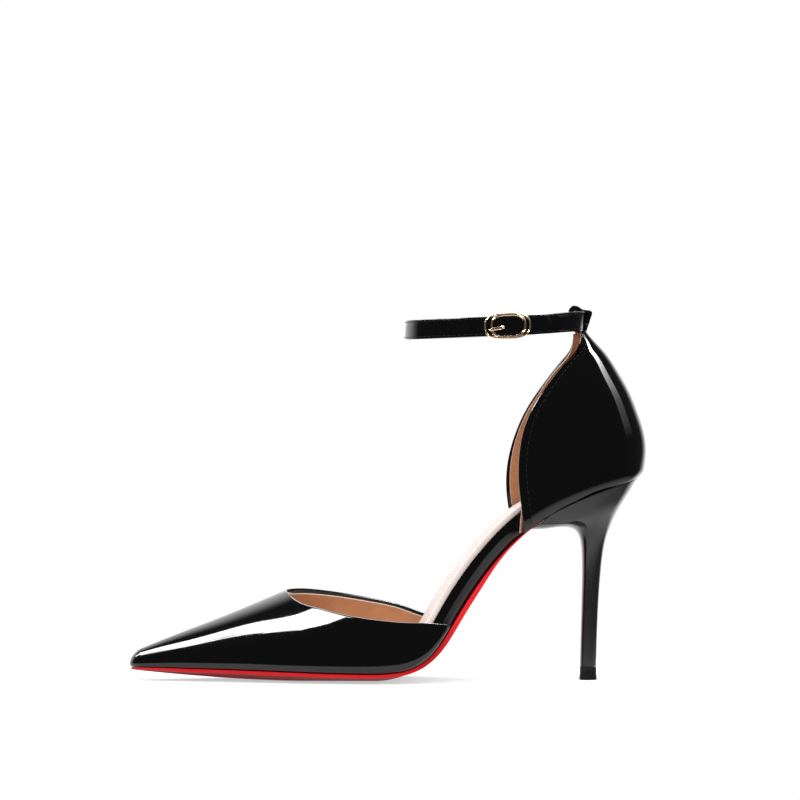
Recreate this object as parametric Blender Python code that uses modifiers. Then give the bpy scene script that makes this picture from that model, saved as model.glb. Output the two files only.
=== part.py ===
import math

import bmesh
import bpy
import numpy as np
from mathutils import Vector

# High heel shoe: a left two-piece pump with a pointed toe and an ankle strap.
# Sizes are in millimetres and become metres when a mesh is made.
# The toe points to -X, the heel to +X, the inner side of the foot to +Y, and the floor is Z = 0.
MM = 0.001
OBJECT_NAME = "high_heel_shoe"

# Driving sizes of the last and the walls
TOE_X = -115.0
SEAT_BACK_X = 113.2
TOE_ROUND = 5.0
SEAT_ROUND = 27.0
GAP = 0.3
VAMP_WALL = 1.6
COUNTER_WALL = 1.8

# Sole: level tread, toe spring, waist and the thin flap under the heel's lip
FLAT_FROM_X = -38.0
FLAT_TO_X = -5.0
TREAD_END_X = 11.0
TOE_SPRING = 4.9
SPRING_POWER = 1.7
SOLE_WAIST_DEPTH = 3.0
SOLE_FLAP = 0.8
SOLE_FLAP_END_X = 70.5
CROWN_POWER = 1.8

# Sizes that ease to a next one along the shoe: first size, then (from x, to x, size)
FLAP_FADE = (36.0, 54.0)
SOLE_EDGE = (0.8, (-115.0, -85.0, 1.9), (5.0, 25.0, 2.3), (*FLAP_FADE, SOLE_FLAP))
SOLE_INSET = (0.7, (-115.0, -90.0, 1.3), (0.0, 20.0, 3.3))
BOARD_CLEARANCE = (0.6, (52.0, 66.0, 2.5))
BOARD_BULGE = (0.0, (0.0, 25.0, 0.9), (55.0, 70.0, 0.0))
PAD_INSET = 0.6
PAD_BULGE = 0.4
LAYER_EASE = 0.3

# Vamp: throat, end of the wings, and the roll under the lasted edge
THROAT_X = -43.5
WING_END_X = 27.4
WING_CROWD = 0.45
ROLL_SHARE = 0.28
ROLL_START = math.radians(25.0)
VAMP_ROWS = 11

# Counter
COUNTER_ROWS = 15
COUNTER_COLUMNS = 20
COUNTER_CROWD = 0.45

# Heel and its tip; the tip's rows are (height, flare)
HEEL_AROUND = 24
HEEL_ROWS = 22
HEEL_TIP_X = 90.2
HEEL_LIP = 0.5
HEEL_TIP_ROWS = ((5.9, 0.0), (0.6, 0.45), (0.0, 0.15))

# Ankle strap: an oval ring seen from above, its slope, and the lap under the buckle
STRAP_WIDTH = 9.0
STRAP_THICK = 1.9
STRAP_LAP = 2.3
STRAP_EASE = 0.35
RING_X = 48.6
RING_Z = 158.5
RING_HALF_LONG = 38.8
RING_HALF_WIDE = 27.5
RING_POWER = 0.92
RING_RISE_BACK = 0.040
RING_RISE_IN = 0.028
STRAP_START = math.radians(-78.0)
LAP_FROM = math.radians(205.0)
LAP_TO = math.radians(272.0)
TAIL_END = math.radians(302.0)
STRAP_LEAN = math.radians(16.0)
STRAP_STEPS = 84
LOOP_WIDTH = 10.0
LOOP_THICK = 1.7
LOOP_EASE = 0.25

# Buckle: the oval frame, the hole and the prong
BUCKLE_X = 52.6
BUCKLE_DROP = -0.7
FRAME_HALF_LONG = 8.2
FRAME_HALF_HIGH = 5.4
FRAME_POWER = 0.72
FRAME_END = 1.5
FRAME_SIDE = 0.75
FRAME_THICK = 0.85
FRAME_AROUND = 8
FRAME_STEPS = 40
HOLE_X = 51.0
HOLE_RADIUS = 1.5
HOLE_SIDES = 16
PRONG_DROP = -0.6
PRONG_THICK = 0.55


# Smooth tables

def spline(xs, ys):
    """Natural cubic curve through the rows of a table."""
    xs = np.asarray(xs, float)
    ys = np.asarray(ys, float)
    count = len(xs)
    step = np.diff(xs)
    left = np.eye(count)
    right = np.zeros(count)
    for i in range(1, count - 1):
        left[i, i - 1:i + 2] = step[i - 1], 2.0 * (step[i - 1] + step[i]), step[i]
        right[i] = 6.0 * ((ys[i + 1] - ys[i]) / step[i] - (ys[i] - ys[i - 1]) / step[i - 1])
    bend = np.linalg.solve(left, right)

    def at(x):
        k = int(np.clip(np.searchsorted(xs, x) - 1, 0, count - 2))
        before = xs[k + 1] - x
        after = x - xs[k]
        cubic = (bend[k] * before ** 3 + bend[k + 1] * after ** 3) / (6.0 * step[k])
        linear = (ys[k] / step[k] - bend[k] * step[k] / 6.0) * before
        return float(cubic + linear + (ys[k + 1] / step[k] - bend[k + 1] * step[k] / 6.0) * after)

    return at


def table(names, *rows):
    """One smooth curve for each named column, by the first column."""
    columns = list(zip(*rows))
    return {name: spline(columns[0], column) for name, column in zip(names.split()[1:], columns[1:])}


def ease(low, high, x):
    share = min(max((x - low) / (high - low), 0.0), 1.0)
    return share * share * (3.0 - 2.0 * share)


def along_shoe(x, first, *changes):
    """A size that eases to the next one between two places along the shoe."""
    size = first
    for low, high, after in changes:
        size += (after - size) * ease(low, high, x)
    return size


# The bottom of the last: height of its edge, its centre line and its half width
BOTTOM = table(
    "x       seat  centre half",
    (-115.0, 6.2,  4.0,   5.0),
    (-85.0,  5.9,  3.4,   15.4),
    (-60.0,  5.5,  2.4,   24.4),
    (-35.0,  4.9,  1.2,   32.2),
    (-12.0,  4.5,  0.2,   36.4),
    (2.0,    5.0,  -0.5,  36.6),
    (9.3,    6.5,  -1.0,  35.4),
    (16.4,   10.3, -1.4,  33.2),
    (23.6,   18.2, -1.7,  30.6),
    (30.7,   29.5, -1.8,  28.0),
    (45.1,   50.5, -1.4,  24.8),
    (59.2,   65.2, -0.8,  24.4),
    (75.9,   76.2, 0.0,   26.2),
    (100.5,  86.5, 0.0,   27.2),
    (116.0,  91.4, 0.0,   27.2),
)

# The vamp: height of its ridge, height and depth of the roll under its edge
VAMP = table(
    "x       ridge  roll_up roll_in",
    (-115.0, 12.2,  2.2,    0.6),
    (-97.0,  19.6,  4.0,    1.6),
    (-75.5,  28.0,  5.5,    2.4),
    (-54.0,  37.0,  6.5,    2.6),
    (-43.5,  41.6,  7.0,    2.6),
    (-25.0,  50.5,  7.0,    2.6),
    (0.0,    63.0,  7.0,    2.6),
    (30.0,   80.0,  7.0,    2.6),
)

# The topline of the vamp on its outer and inner side
TOPLINE = table(
    "x       outer  inner",
    (-43.5,  41.4,  41.4),
    (-39.6,  37.7,  41.1),
    (-32.5,  35.1,  40.5),
    (-18.5,  31.5,  38.4),
    (-4.5,   28.4,  35.7),
    (8.0,    27.3,  32.7),
    (17.0,   27.0,  29.4),
    (27.4,   25.9,  26.4),
)

# The counter, by its share of the height: back line, front edge, half widths and round of the back
COUNTER = table(
    "share back_x back_z front_x front_z lead wide front_wide round",
    (0.00, 112.4, 90.6,  59.9,   66.2,   1.4, 25.4, 21.8, 25.0),
    (0.04, 114.6, 92.5,  59.7,   70.0,   1.8, 27.0, 23.0, 26.5),
    (0.10, 116.1, 95.6,  59.1,   75.6,   2.3, 28.4, 23.8, 28.0),
    (0.22, 116.8, 101.8, 57.8,   86.6,   2.6, 29.2, 24.4, 29.0),
    (0.40, 115.8, 111.2, 57.8,   100.6,  1.7, 28.4, 24.6, 28.5),
    (0.55, 113.0, 120.0, 60.0,   112.0,  0.4, 26.6, 24.2, 27.0),
    (0.69, 108.4, 130.2, 65.2,   123.7,  0.0, 24.0, 22.6, 25.0),
    (0.80, 103.1, 138.9, 72.4,   134.0,  0.0, 20.4, 19.6, 22.5),
    (0.89, 97.1,  147.4, 80.4,   143.3,  0.0, 15.0, 14.6, 19.0),
    (0.95, 92.4,  152.4, 85.6,   149.6,  0.0, 9.2,  9.2,  15.0),
    (1.00, 89.4,  155.6, 88.2,   155.4,  0.0, 5.2,  5.2,  11.0),
)

# The board and the padded insole over it: thickness along the shoe
INSIDE = table(
    "x       board pad",
    (-115.0, 2.2,  1.4),
    (-60.0,  2.4,  1.5),
    (-10.0,  2.6,  1.6),
    (8.0,    4.8,  2.2),
    (24.0,   7.5,  2.6),
    (50.0,   7.8,  2.6),
    (66.0,   7.8,  2.6),
    (84.0,   5.4,  2.0),
    (116.0,  4.0,  1.6),
)

# The heel from the tip up to the seat: front and back points, half width, and where it is widest
HEEL = table(
    "row  front_x front_z back_x back_z half  widest square",
    (0,   86.8,   6.2,    94.0,  6.2,   4.0,  0.45,  0.75),
    (1,   87.0,   18.0,   94.2,  18.0,  4.1,  0.45,  0.75),
    (2,   87.4,   34.0,   94.8,  34.0,  4.6,  0.45,  0.75),
    (3,   87.6,   47.6,   95.7,  47.6,  5.6,  0.45,  0.75),
    (4,   87.3,   58.3,   96.9,  58.8,  7.4,  0.46,  0.75),
    (5,   86.0,   65.2,   99.0,  66.8,  10.4, 0.47,  0.72),
    (6,   82.8,   68.4,   101.8, 73.2,  14.6, 0.48,  0.66),
    (7,   77.0,   69.0,   105.0, 78.8,  18.8, 0.50,  0.56),
    (8,   70.6,   68.0,   108.4, 84.2,  21.0, 0.51,  0.46),
    (9,   64.8,   66.6,   111.9, 89.4,  23.0, 0.52,  0.38),
)

# The path of the tab that is folded over the strap, from its outer foot to its inner foot
TAB = table(
    "step x     z",
    (0,   88.4, 156.2),
    (1,   89.5, 160.1),
    (2,   90.7, 164.2),
    (3,   88.9, 166.4),
    (4,   85.4, 166.8),
    (5,   81.8, 165.6),
    (6,   81.6, 161.4),
    (7,   84.2, 156.2),
)

# The prong from its foot in the hole to its point on the frame: place, height off the strap, half width
PRONG = (
    (51.6, -1.5, 0.7),
    (51.2, -0.2, 0.75),
    (50.2, 1.15, 0.75),
    (48.6, 2.05, 0.75),
    (46.6, 2.62, 0.7),
    (44.4, 2.92, 0.6),
    (42.9, 2.92, 0.35),
)


# Outlines and paths

def nose(depth, reach):
    """Share of the full width at a depth behind a rounded end."""
    share = min(max(depth / reach, 0.0), 1.0)
    return math.sqrt(1.0 - (1.0 - share) ** 2)


def half_width(x, inset=0.0):
    toe = nose(x - TOE_X - inset, TOE_ROUND)
    heel = nose(SEAT_BACK_X - inset - x, SEAT_ROUND - inset)
    return max(BOTTOM["half"](x) - inset, 0.0) * toe * heel


def tilt(x):
    """Slope of the bottom of the last; the tread lies level."""
    if x < FLAT_TO_X:
        return 0.0
    rise = (BOTTOM["seat"](x + 0.05) - BOTTOM["seat"](x - 0.05)) / 0.1
    return math.atan(rise)


def on_bottom(x, y, height):
    """A point at a height square to the bottom of the last."""
    angle = tilt(x)
    return (
        x - height * math.sin(angle),
        BOTTOM["centre"](x) + y,
        BOTTOM["seat"](x) + height * math.cos(angle),
    )


def stations(first, last, count, round_first=0.0, round_last=0.0):
    """Places along X, crowded by a quarter turn at an end that is rounded."""
    quarter = math.pi / 2.0
    places = []
    if round_first:
        turns = np.linspace(0.18, 1.0, 5)[:-1] * quarter
        places += [first + round_first * (1.0 - math.cos(a)) for a in turns]
    places += list(np.linspace(first + round_first, last - round_last, count))
    if round_last:
        turns = np.linspace(0.0, 0.84, 6)[1:] * quarter
        places += [last - round_last * (1.0 - math.sin(a)) for a in turns]
    return [float(p) for p in places]


# Mesh helpers

def collection(name, hidden=False):
    made = bpy.data.collections.new(name)
    bpy.context.scene.collection.children.link(made)
    made.hide_render = hidden
    return made


def material(name, colour, roughness, metallic=0.0):
    made = bpy.data.materials.new(name)
    made.use_nodes = True
    shader = made.node_tree.nodes["Principled BSDF"]
    shader.inputs["Base Color"].default_value = (*colour, 1.0)
    shader.inputs["Roughness"].default_value = roughness
    shader.inputs["Metallic"].default_value = metallic
    return made


def finish_mesh(name, bm, surface, place):
    bmesh.ops.recalc_face_normals(bm, faces=bm.faces)
    mesh = bpy.data.meshes.new(name)
    bm.to_mesh(mesh)
    bm.free()
    made = bpy.data.objects.new(name, mesh)
    made.data.materials.append(surface)
    place.objects.link(made)
    return made


def loft(name, rings, surface, place, closed=False):
    """Skin over rings of equal count; each ring goes down one side and back up the other."""
    bm = bmesh.new()
    loops = [[bm.verts.new(Vector(p) * MM) for p in ring] for ring in rings]
    count = len(loops[0])
    pairs = list(zip(loops, loops[1:]))
    if closed:
        pairs.append((loops[-1], loops[0]))
    for here, there in pairs:
        for i in range(count):
            j = (i + 1) % count
            bm.faces.new((here[i], here[j], there[j], there[i]))
    if not closed:
        for end in (loops[0], loops[-1]):
            for i in range(count // 2 - 1):
                bm.faces.new((end[i], end[i + 1], end[count - i - 2], end[count - i - 1]))
    return finish_mesh(name, bm, surface, place)


def shell(name, rows, columns, point, wall, surface, place, split=False):
    """A placed grid with a wall on its inner side; a split leaves out the middle column of faces."""
    bm = bmesh.new()
    bmesh.ops.create_grid(bm, x_segments=columns, y_segments=rows, size=1.0)
    if split:
        middle = [f for f in bm.faces if abs(f.calc_center_median().x) < 0.5 / columns]
        bmesh.ops.delete(bm, geom=middle, context="FACES")
    for vert in bm.verts:
        j = round((vert.co.x + 1.0) * columns / 2.0)
        i = round((vert.co.y + 1.0) * rows / 2.0)
        vert.co = Vector(point(i, j)) * MM
    bmesh.ops.remove_doubles(bm, verts=bm.verts, dist=0.00002)
    made = finish_mesh(name, bm, surface, place)
    centre = sum((p.center for p in made.data.polygons), Vector()) / len(made.data.polygons)
    outward = sum((p.center - centre).dot(p.normal) * p.area for p in made.data.polygons)
    if outward < 0.0:
        made.data.flip_normals()
    thick = made.modifiers.new("wall", "SOLIDIFY")
    thick.thickness = wall * MM
    thick.offset = -1.0
    thick.use_even_offset = True
    return made


def band(width, thick, ease_in):
    """Section of a strap as (across, out), down one side and back up the other."""
    w = width / 2.0
    t = thick / 2.0
    half = [(w - ease_in, t), (w, t - ease_in), (w, ease_in - t), (w - ease_in, -t)]
    return half + [(-a, b) for a, b in reversed(half)]


# Start from an empty file
for old in list(bpy.data.objects):
    bpy.data.objects.remove(old, do_unlink=True)
PARTS = collection(OBJECT_NAME)
CUTTERS = collection("cutters", hidden=True)
PATENT = material("black_patent", (0.012, 0.012, 0.013), 0.12)
SOLE_RED = material("red_sole", (0.72, 0.02, 0.03), 0.4)
NUDE = material("nude_leather", (0.82, 0.66, 0.56), 0.55)
LACQUER = material("black_lacquer", (0.02, 0.02, 0.021), 0.3)
RUBBER = material("black_rubber", (0.02, 0.02, 0.02), 0.6)
GOLD = material("pale_gold", (0.85, 0.68, 0.42), 0.2, 1.0)


# Outsole

def sole_depth(x):
    """Depth of the sole's middle below the last, so that the tread touches the floor."""
    reach = (FLAT_FROM_X - x) / (FLAT_FROM_X - TOE_X)
    spring = TOE_SPRING * max(reach, 0.0) ** SPRING_POWER
    tread = BOTTOM["seat"](x) - spring
    waist = along_shoe(x, SOLE_WAIST_DEPTH, (*FLAP_FADE, SOLE_FLAP + GAP))
    share = ease(FLAT_TO_X, TREAD_END_X, x)
    return tread * (1.0 - share) + waist * share


def sole_ring(x):
    """Level in the middle, then crowned up to a thin upright edge."""
    wide = max(half_width(x, along_shoe(x, *SOLE_INSET)), PAD_INSET)
    low = -GAP - along_shoe(x, *SOLE_EDGE)
    deep = max(sole_depth(x), -low)
    half = [(0.5, -deep)]
    half += [(f, -deep + (deep + low) * (2.0 * f - 1.0) ** CROWN_POWER) for f in (0.7, 0.87)]
    half += [(1.0, low), (1.0, -GAP)]
    ring = half + [(-a, h) for a, h in reversed(half)]
    return [on_bottom(x, -a * wide, h) for a, h in ring]


sole_places = stations(TOE_X + SOLE_INSET[0], FLAT_TO_X, 14, round_first=TOE_ROUND)
sole_places += stations(FLAT_TO_X + 4.0, SOLE_FLAP_END_X, 21)
loft("outsole", [sole_ring(x) for x in sole_places], SOLE_RED, PARTS)


# Board and padded insole

def inside_inset(x):
    """Room left at each side for the walls of the upper."""
    return VAMP["roll_in"](min(x, WING_END_X)) + COUNTER_WALL + along_shoe(x, *BOARD_CLEARANCE)


def layer_ring(x, inset, low, high, bulge):
    wide = max(half_width(x, inset), PAD_INSET)
    side = [(wide - LAYER_EASE, low)]
    for f in (0.2, 0.5, 0.8):
        side.append((wide + bulge * math.sin(math.pi * f), low + (high - low) * f))
    side.append((wide - LAYER_EASE, high))
    ring = side + [(-a, h) for a, h in reversed(side)]
    return [on_bottom(x, -a, h) for a, h in ring]


def board_ring(x):
    return layer_ring(x, inside_inset(x), 0.0, INSIDE["board"](x), along_shoe(x, *BOARD_BULGE))


def pad_ring(x):
    low = INSIDE["board"](x) + GAP
    return layer_ring(x, inside_inset(x) + PAD_INSET, low, low + INSIDE["pad"](x), PAD_BULGE)


def inside_places(extra):
    """Places from toe to seat, with the ball between the two runs."""
    first = TOE_X + inside_inset(TOE_X) + extra
    inset = inside_inset(SEAT_BACK_X)
    places = stations(first, FLAT_TO_X, 9, round_first=TOE_ROUND)
    return places + stations(0.0, SEAT_BACK_X - inset - extra, 16, round_last=SEAT_ROUND - inset)


loft("insole_board", [board_ring(x) for x in inside_places(0.0)], PATENT, PARTS)
loft("sock_lining", [pad_ring(x) for x in inside_places(PAD_INSET)], NUDE, PARTS)


# Vamp

def vamp_section(x, side, share):
    """A point on the outer face: rolled in at the bottom, then an arch up to the ridge."""
    w = half_width(x)
    roll_up = VAMP["roll_up"](x)
    slope = 1e6
    if x > TOE_X + 1e-4:
        slope = (half_width(x + 0.01) - half_width(x - 0.01)) / 0.02
    turn = 1.0 / math.hypot(1.0, slope)
    out = (-slope * turn, side * turn)
    base = BOTTOM["seat"](x)
    centre = BOTTOM["centre"](x)
    rise = (VAMP["ridge"](x) - base - roll_up) * nose(x - TOE_X, TOE_ROUND)
    if share < ROLL_SHARE:
        angle = ROLL_START + (math.pi / 2.0 - ROLL_START) * share / ROLL_SHARE
        inward = VAMP["roll_in"](x) * (1.0 - math.sin(angle)) / (1.0 - math.sin(ROLL_START))
        up = roll_up * (1.0 - math.cos(angle) / math.cos(ROLL_START))
        return (x - out[0] * inward, centre + side * w - out[1] * inward, base + up)
    angle = math.pi / 2.0 * (share - ROLL_SHARE) / (1.0 - ROLL_SHARE)
    return (x, centre + side * w * math.cos(angle), base + roll_up + rise * math.sin(angle))


def top_share(x, side):
    """Share of the section that reaches the topline."""
    if x <= THROAT_X + 1e-6:
        return 1.0
    base = BOTTOM["seat"](x)
    up = TOPLINE["outer" if side < 0 else "inner"](x) - base
    roll_up = VAMP["roll_up"](x)
    rise = VAMP["ridge"](x) - base - roll_up
    if up > roll_up:
        angle = math.asin(min((up - roll_up) / rise, 1.0))
        return ROLL_SHARE + (1.0 - ROLL_SHARE) * angle / (math.pi / 2.0)
    angle = math.acos((1.0 - up / roll_up) * math.cos(ROLL_START))
    return ROLL_SHARE * (angle - ROLL_START) / (math.pi / 2.0 - ROLL_START)


vamp_places = [TOE_X + TOE_ROUND * (1.0 - math.cos(a)) for a in np.linspace(0.0, math.pi / 2.0, 6)[:-1]]
vamp_places += list(np.linspace(TOE_X + TOE_ROUND, THROAT_X, 10))
wing_steps = np.linspace(0.0, 1.0, 16)[1:]
wing_shares = WING_CROWD * wing_steps ** 2 + (1.0 - WING_CROWD) * wing_steps
vamp_places += list(THROAT_X + (WING_END_X - THROAT_X) * wing_shares)


def vamp_point(i, j):
    x = vamp_places[i]
    side = -1 if j <= VAMP_ROWS else 1
    row = j if j <= VAMP_ROWS else 2 * VAMP_ROWS + 1 - j
    return vamp_section(x, side, top_share(x, side) * row / VAMP_ROWS)


shell("vamp", len(vamp_places) - 1, 2 * VAMP_ROWS + 1, vamp_point, VAMP_WALL, PATENT, PARTS, split=True)


# Counter

def counter_point(i, j):
    """A row bends round the back of the heel and runs straight on to the front edge."""
    share = i / COUNTER_ROWS
    share = share * (1.0 - COUNTER_CROWD + COUNTER_CROWD * share)
    place = 2.0 * j / COUNTER_COLUMNS - 1.0
    side = -1.0 if place < 0.0 else 1.0
    t = abs(place)
    row = {name: curve(share) for name, curve in COUNTER.items()}
    front = row["front_x"] - (row["lead"] if side > 0 else 0.0)
    depth = row["back_x"] - front
    behind = depth * t * t
    fade = 2.0 * row["round"] / row["wide"] ** 2
    full = 1.0 - math.exp(-fade * depth)
    sweep = row["wide"] + (row["front_wide"] - row["wide"]) * t * t
    x = row["back_x"] - behind
    y = sweep * math.sqrt((1.0 - math.exp(-fade * behind)) / full)
    along = (row["back_x"] - x) / max(depth, 1e-6)
    chord = row["back_z"] + (row["front_z"] - row["back_z"]) * along
    seat_chord = COUNTER["back_z"](0.0) + (COUNTER["front_z"](0.0) - COUNTER["back_z"](0.0)) * along
    sag = (BOTTOM["seat"](min(x, SEAT_BACK_X)) - seat_chord) * (1.0 - share) ** 3
    centre = BOTTOM["centre"](min(x, SEAT_BACK_X - SEAT_ROUND)) * (1.0 - share) ** 2
    return (x, centre + side * y, chord + sag)


shell("counter", COUNTER_ROWS, COUNTER_COLUMNS, counter_point, COUNTER_WALL, PATENT, PARTS)


# Heel and its tip

def heel_ring(row, seat=False):
    at = {name: curve(row) for name, curve in HEEL.items()}
    ring = []
    for k in range(HEEL_AROUND):
        angle = 2.0 * math.pi * (k + 0.5) / HEEL_AROUND
        c = math.cos(angle)
        s = math.sin(angle)
        power = 1.0 if c > 0.0 else at["square"]
        along = math.copysign(abs(c) ** power, c)
        y = -at["half"] * math.copysign(abs(s) ** power, s)
        p = at["widest"] + along * ((1.0 - at["widest"]) if c > 0.0 else at["widest"])
        x = at["front_x"] + (at["back_x"] - at["front_x"]) * p
        z = at["front_z"] + (at["back_z"] - at["front_z"]) * p
        flap = (SOLE_FLAP + GAP) * (1.0 - ease(SOLE_FLAP_END_X + 0.6, SOLE_FLAP_END_X + 3.5, x))
        lid = BOTTOM["seat"](x) - (GAP + flap) / math.cos(tilt(x))
        ring.append((x, y, lid if seat else min(z, lid - HEEL_LIP)))
    return ring


heel_rows = [9.0 * k / HEEL_ROWS for k in range(HEEL_ROWS + 1)]
heel_rings = [heel_ring(r) for r in heel_rows] + [heel_ring(9.0, seat=True)]
loft("heel", heel_rings, LACQUER, PARTS)

tip_rings = []
for z, flare in HEEL_TIP_ROWS:
    ring = []
    for x, y, _ in heel_ring(0.0):
        away = math.hypot(x - HEEL_TIP_X, y)
        ring.append((x + flare * (x - HEEL_TIP_X) / away, y + flare * y / away, z))
    tip_rings.append(ring)
loft("heel_tip", tip_rings, RUBBER, PARTS)


# Ankle strap

def strap_frame(angle):
    """Middle, way out and way up of the strap; the angle starts at the back and goes inward first."""
    c = math.cos(angle)
    s = math.sin(angle)
    lap = STRAP_LAP * ease(LAP_FROM, LAP_TO, angle)
    x = RING_X + RING_HALF_LONG * math.copysign(abs(c) ** RING_POWER, c)
    y = RING_HALF_WIDE * math.copysign(abs(s) ** RING_POWER, s)
    out = Vector((c / RING_HALF_LONG, s / RING_HALF_WIDE, 0.0)).normalized()
    z = RING_Z + RING_RISE_BACK * (x - RING_X) + RING_RISE_IN * y
    lean = STRAP_LEAN * max(c, 0.0) ** 3 * (1.0 - ease(LAP_FROM, LAP_TO, angle))
    up = Vector((0.0, 0.0, 1.0)) * math.cos(lean) + out * math.sin(lean)
    face = out * math.cos(lean) - Vector((0.0, 0.0, 1.0)) * math.sin(lean)
    return Vector((x, y, z)) + out * lap, face, up


def strap_ring(angle):
    middle, face, up = strap_frame(angle)
    return [middle + up * a + face * b for a, b in band(STRAP_WIDTH, STRAP_THICK, STRAP_EASE)]


strap_angles = np.linspace(STRAP_START, TAIL_END, STRAP_STEPS)
strap = loft("ankle_strap", [strap_ring(a) for a in strap_angles], PATENT, PARTS)


def on_strap(x, across, out):
    """A point on the lapped outer side, by its place along X and its height off the strap's face."""
    share = (abs(x - RING_X) / RING_HALF_LONG) ** (1.0 / RING_POWER)
    angle = 1.5 * math.pi + math.asin(math.copysign(share, x - RING_X))
    middle, face, up = strap_frame(angle)
    return middle + up * across + face * (STRAP_THICK / 2.0 + out)


punch_foot = on_strap(HOLE_X, PRONG_DROP, -4.0)
punch_way = on_strap(HOLE_X, PRONG_DROP, 2.0) - punch_foot
bpy.ops.mesh.primitive_cylinder_add(
    vertices=HOLE_SIDES,
    radius=HOLE_RADIUS * MM,
    depth=punch_way.length * MM,
    location=(punch_foot + punch_way / 2.0) * MM,
    rotation=punch_way.to_track_quat("Z", "Y").to_euler(),
)
punch = bpy.context.object
punch.name = "prong_hole_cutter"
punch.display_type = "WIRE"
punch.hide_render = True
for holder in list(punch.users_collection):
    holder.objects.unlink(punch)
CUTTERS.objects.link(punch)
cut = strap.modifiers.new("prong_hole", "BOOLEAN")
cut.operation = "DIFFERENCE"
cut.solver = "EXACT"
cut.object = punch


# Buckle

def oval(turn):
    """Middle line of the frame and its outward way, along and across the strap."""
    c = math.cos(turn)
    s = math.sin(turn)
    along = FRAME_HALF_LONG * math.copysign(abs(c) ** FRAME_POWER, c)
    across = FRAME_HALF_HIGH * math.copysign(abs(s) ** FRAME_POWER, s)
    way = Vector((c / FRAME_HALF_LONG, s / FRAME_HALF_HIGH)).normalized()
    return along, across, way


def frame_ring(turn):
    along, across, way = oval(turn)
    wide = FRAME_SIDE + (FRAME_END - FRAME_SIDE) * abs(math.cos(turn)) ** 2
    ring = []
    for k in range(FRAME_AROUND):
        a = 2.0 * math.pi * (k + 0.5) / FRAME_AROUND
        reach = wide * math.cos(a)
        height = GAP + FRAME_THICK * (1.0 + math.sin(a))
        ring.append(on_strap(BUCKLE_X + along + way.x * reach, BUCKLE_DROP + across + way.y * reach, height))
    return ring


frame_turns = np.linspace(0.0, 2.0 * math.pi, FRAME_STEPS + 1)[:-1]
loft("buckle_frame", [frame_ring(t) for t in frame_turns], GOLD, PARTS, closed=True)


def prong_ring(x, out, wide):
    t = PRONG_THICK
    half = [(wide / 2.0, t), (wide, t / 2.0), (wide, -t / 2.0), (wide / 2.0, -t)]
    ring = half + [(-a, b) for a, b in reversed(half)]
    return [on_strap(x, PRONG_DROP + a, out + b) for a, b in ring]


loft("buckle_prong", [prong_ring(*row) for row in PRONG], GOLD, PARTS)


# Tab that holds the strap on the counter

def tab_ring(step):
    here = Vector((TAB["x"](step), 0.0, TAB["z"](step)))
    ahead = Vector((TAB["x"](step + 0.02), 0.0, TAB["z"](step + 0.02))) - here
    ahead.normalize()
    out = Vector((ahead.z, 0.0, -ahead.x))
    return [here + Vector((0.0, 1.0, 0.0)) * a + out * b for a, b in band(LOOP_WIDTH, LOOP_THICK, LOOP_EASE)]


loft("strap_loop", [tab_ring(s) for s in np.linspace(0.0, 6.98, 22)], PATENT, PARTS)

for part in PARTS.objects:
    part.select_set(False)
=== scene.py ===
# %% [markdown]
# # High heel shoe
# A left pump in two pieces, with a pointed toe, a slim heel and a strap round the ankle.
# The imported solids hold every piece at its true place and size, and they stay underneath for contact.
# Here each one is laid again with finer sections, so that the gloss of patent leather runs without facets.
# Linings, seams, punched holes and the finishes are added on the way.

# %% Load the frame
import math
from functools import lru_cache

import bpy
import numpy as np
from mathutils import Matrix, Vector


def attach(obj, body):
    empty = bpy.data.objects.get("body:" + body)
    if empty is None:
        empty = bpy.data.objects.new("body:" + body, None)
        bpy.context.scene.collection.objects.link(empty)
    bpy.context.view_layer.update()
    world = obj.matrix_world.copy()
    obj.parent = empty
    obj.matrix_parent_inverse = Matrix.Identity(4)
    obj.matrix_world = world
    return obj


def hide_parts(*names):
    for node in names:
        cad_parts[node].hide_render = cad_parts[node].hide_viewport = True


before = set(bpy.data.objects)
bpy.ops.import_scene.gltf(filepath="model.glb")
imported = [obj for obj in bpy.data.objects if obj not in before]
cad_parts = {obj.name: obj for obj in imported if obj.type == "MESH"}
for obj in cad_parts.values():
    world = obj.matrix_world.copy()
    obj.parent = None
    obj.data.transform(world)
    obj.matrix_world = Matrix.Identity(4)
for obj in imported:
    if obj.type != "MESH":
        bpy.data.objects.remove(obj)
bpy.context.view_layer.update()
MM = 0.001
print("solids:", sorted(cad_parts))

# %% [markdown]
# ## Camera
# The photo shows the outer side from a low stand, with the whole shoe a little below the middle.
# A long lens from 1.5 m keeps the outline as flat as it is there.
# The view is turned by two degrees, because a sliver of the counter's lining shows in front of its edge.
# The shift lifts the frame, so that the camera stays level and the heel stays upright.

# %% Camera
VIEW_TURN = math.radians(2.0)
VIEW_DISTANCE = 1.5
VIEW_WIDTH = 0.3584
AIM = Vector((0.00605, 0.0, 0.0896))

towards = Vector((math.sin(VIEW_TURN), math.cos(VIEW_TURN), 0.0))
bpy.ops.object.camera_add(
    location=AIM - VIEW_DISTANCE * towards,
    rotation=(math.pi / 2.0, 0.0, -VIEW_TURN),
)
camera = bpy.context.object
camera.name = "photo_camera"
camera.data.sensor_width = 36.0
camera.data.lens = camera.data.sensor_width * VIEW_DISTANCE / VIEW_WIDTH
camera.data.shift_y = 0.1
bpy.context.scene.camera = camera
print("camera at", [round(v, 4) for v in camera.location], "lens", round(camera.data.lens, 1))

# %% [markdown]
# ## Hand tools
# Each piece starts as a primitive and is shaped in edit mode, and modifiers finish it.
# A shoe is drawn over a last, which no primitive resembles, so its skins start as a grid
# whose points are laid on the sections of the last, the way a pattern is pulled over it.
# These helpers do the selecting, so that an operator never reaches a solid of the frame.

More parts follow.
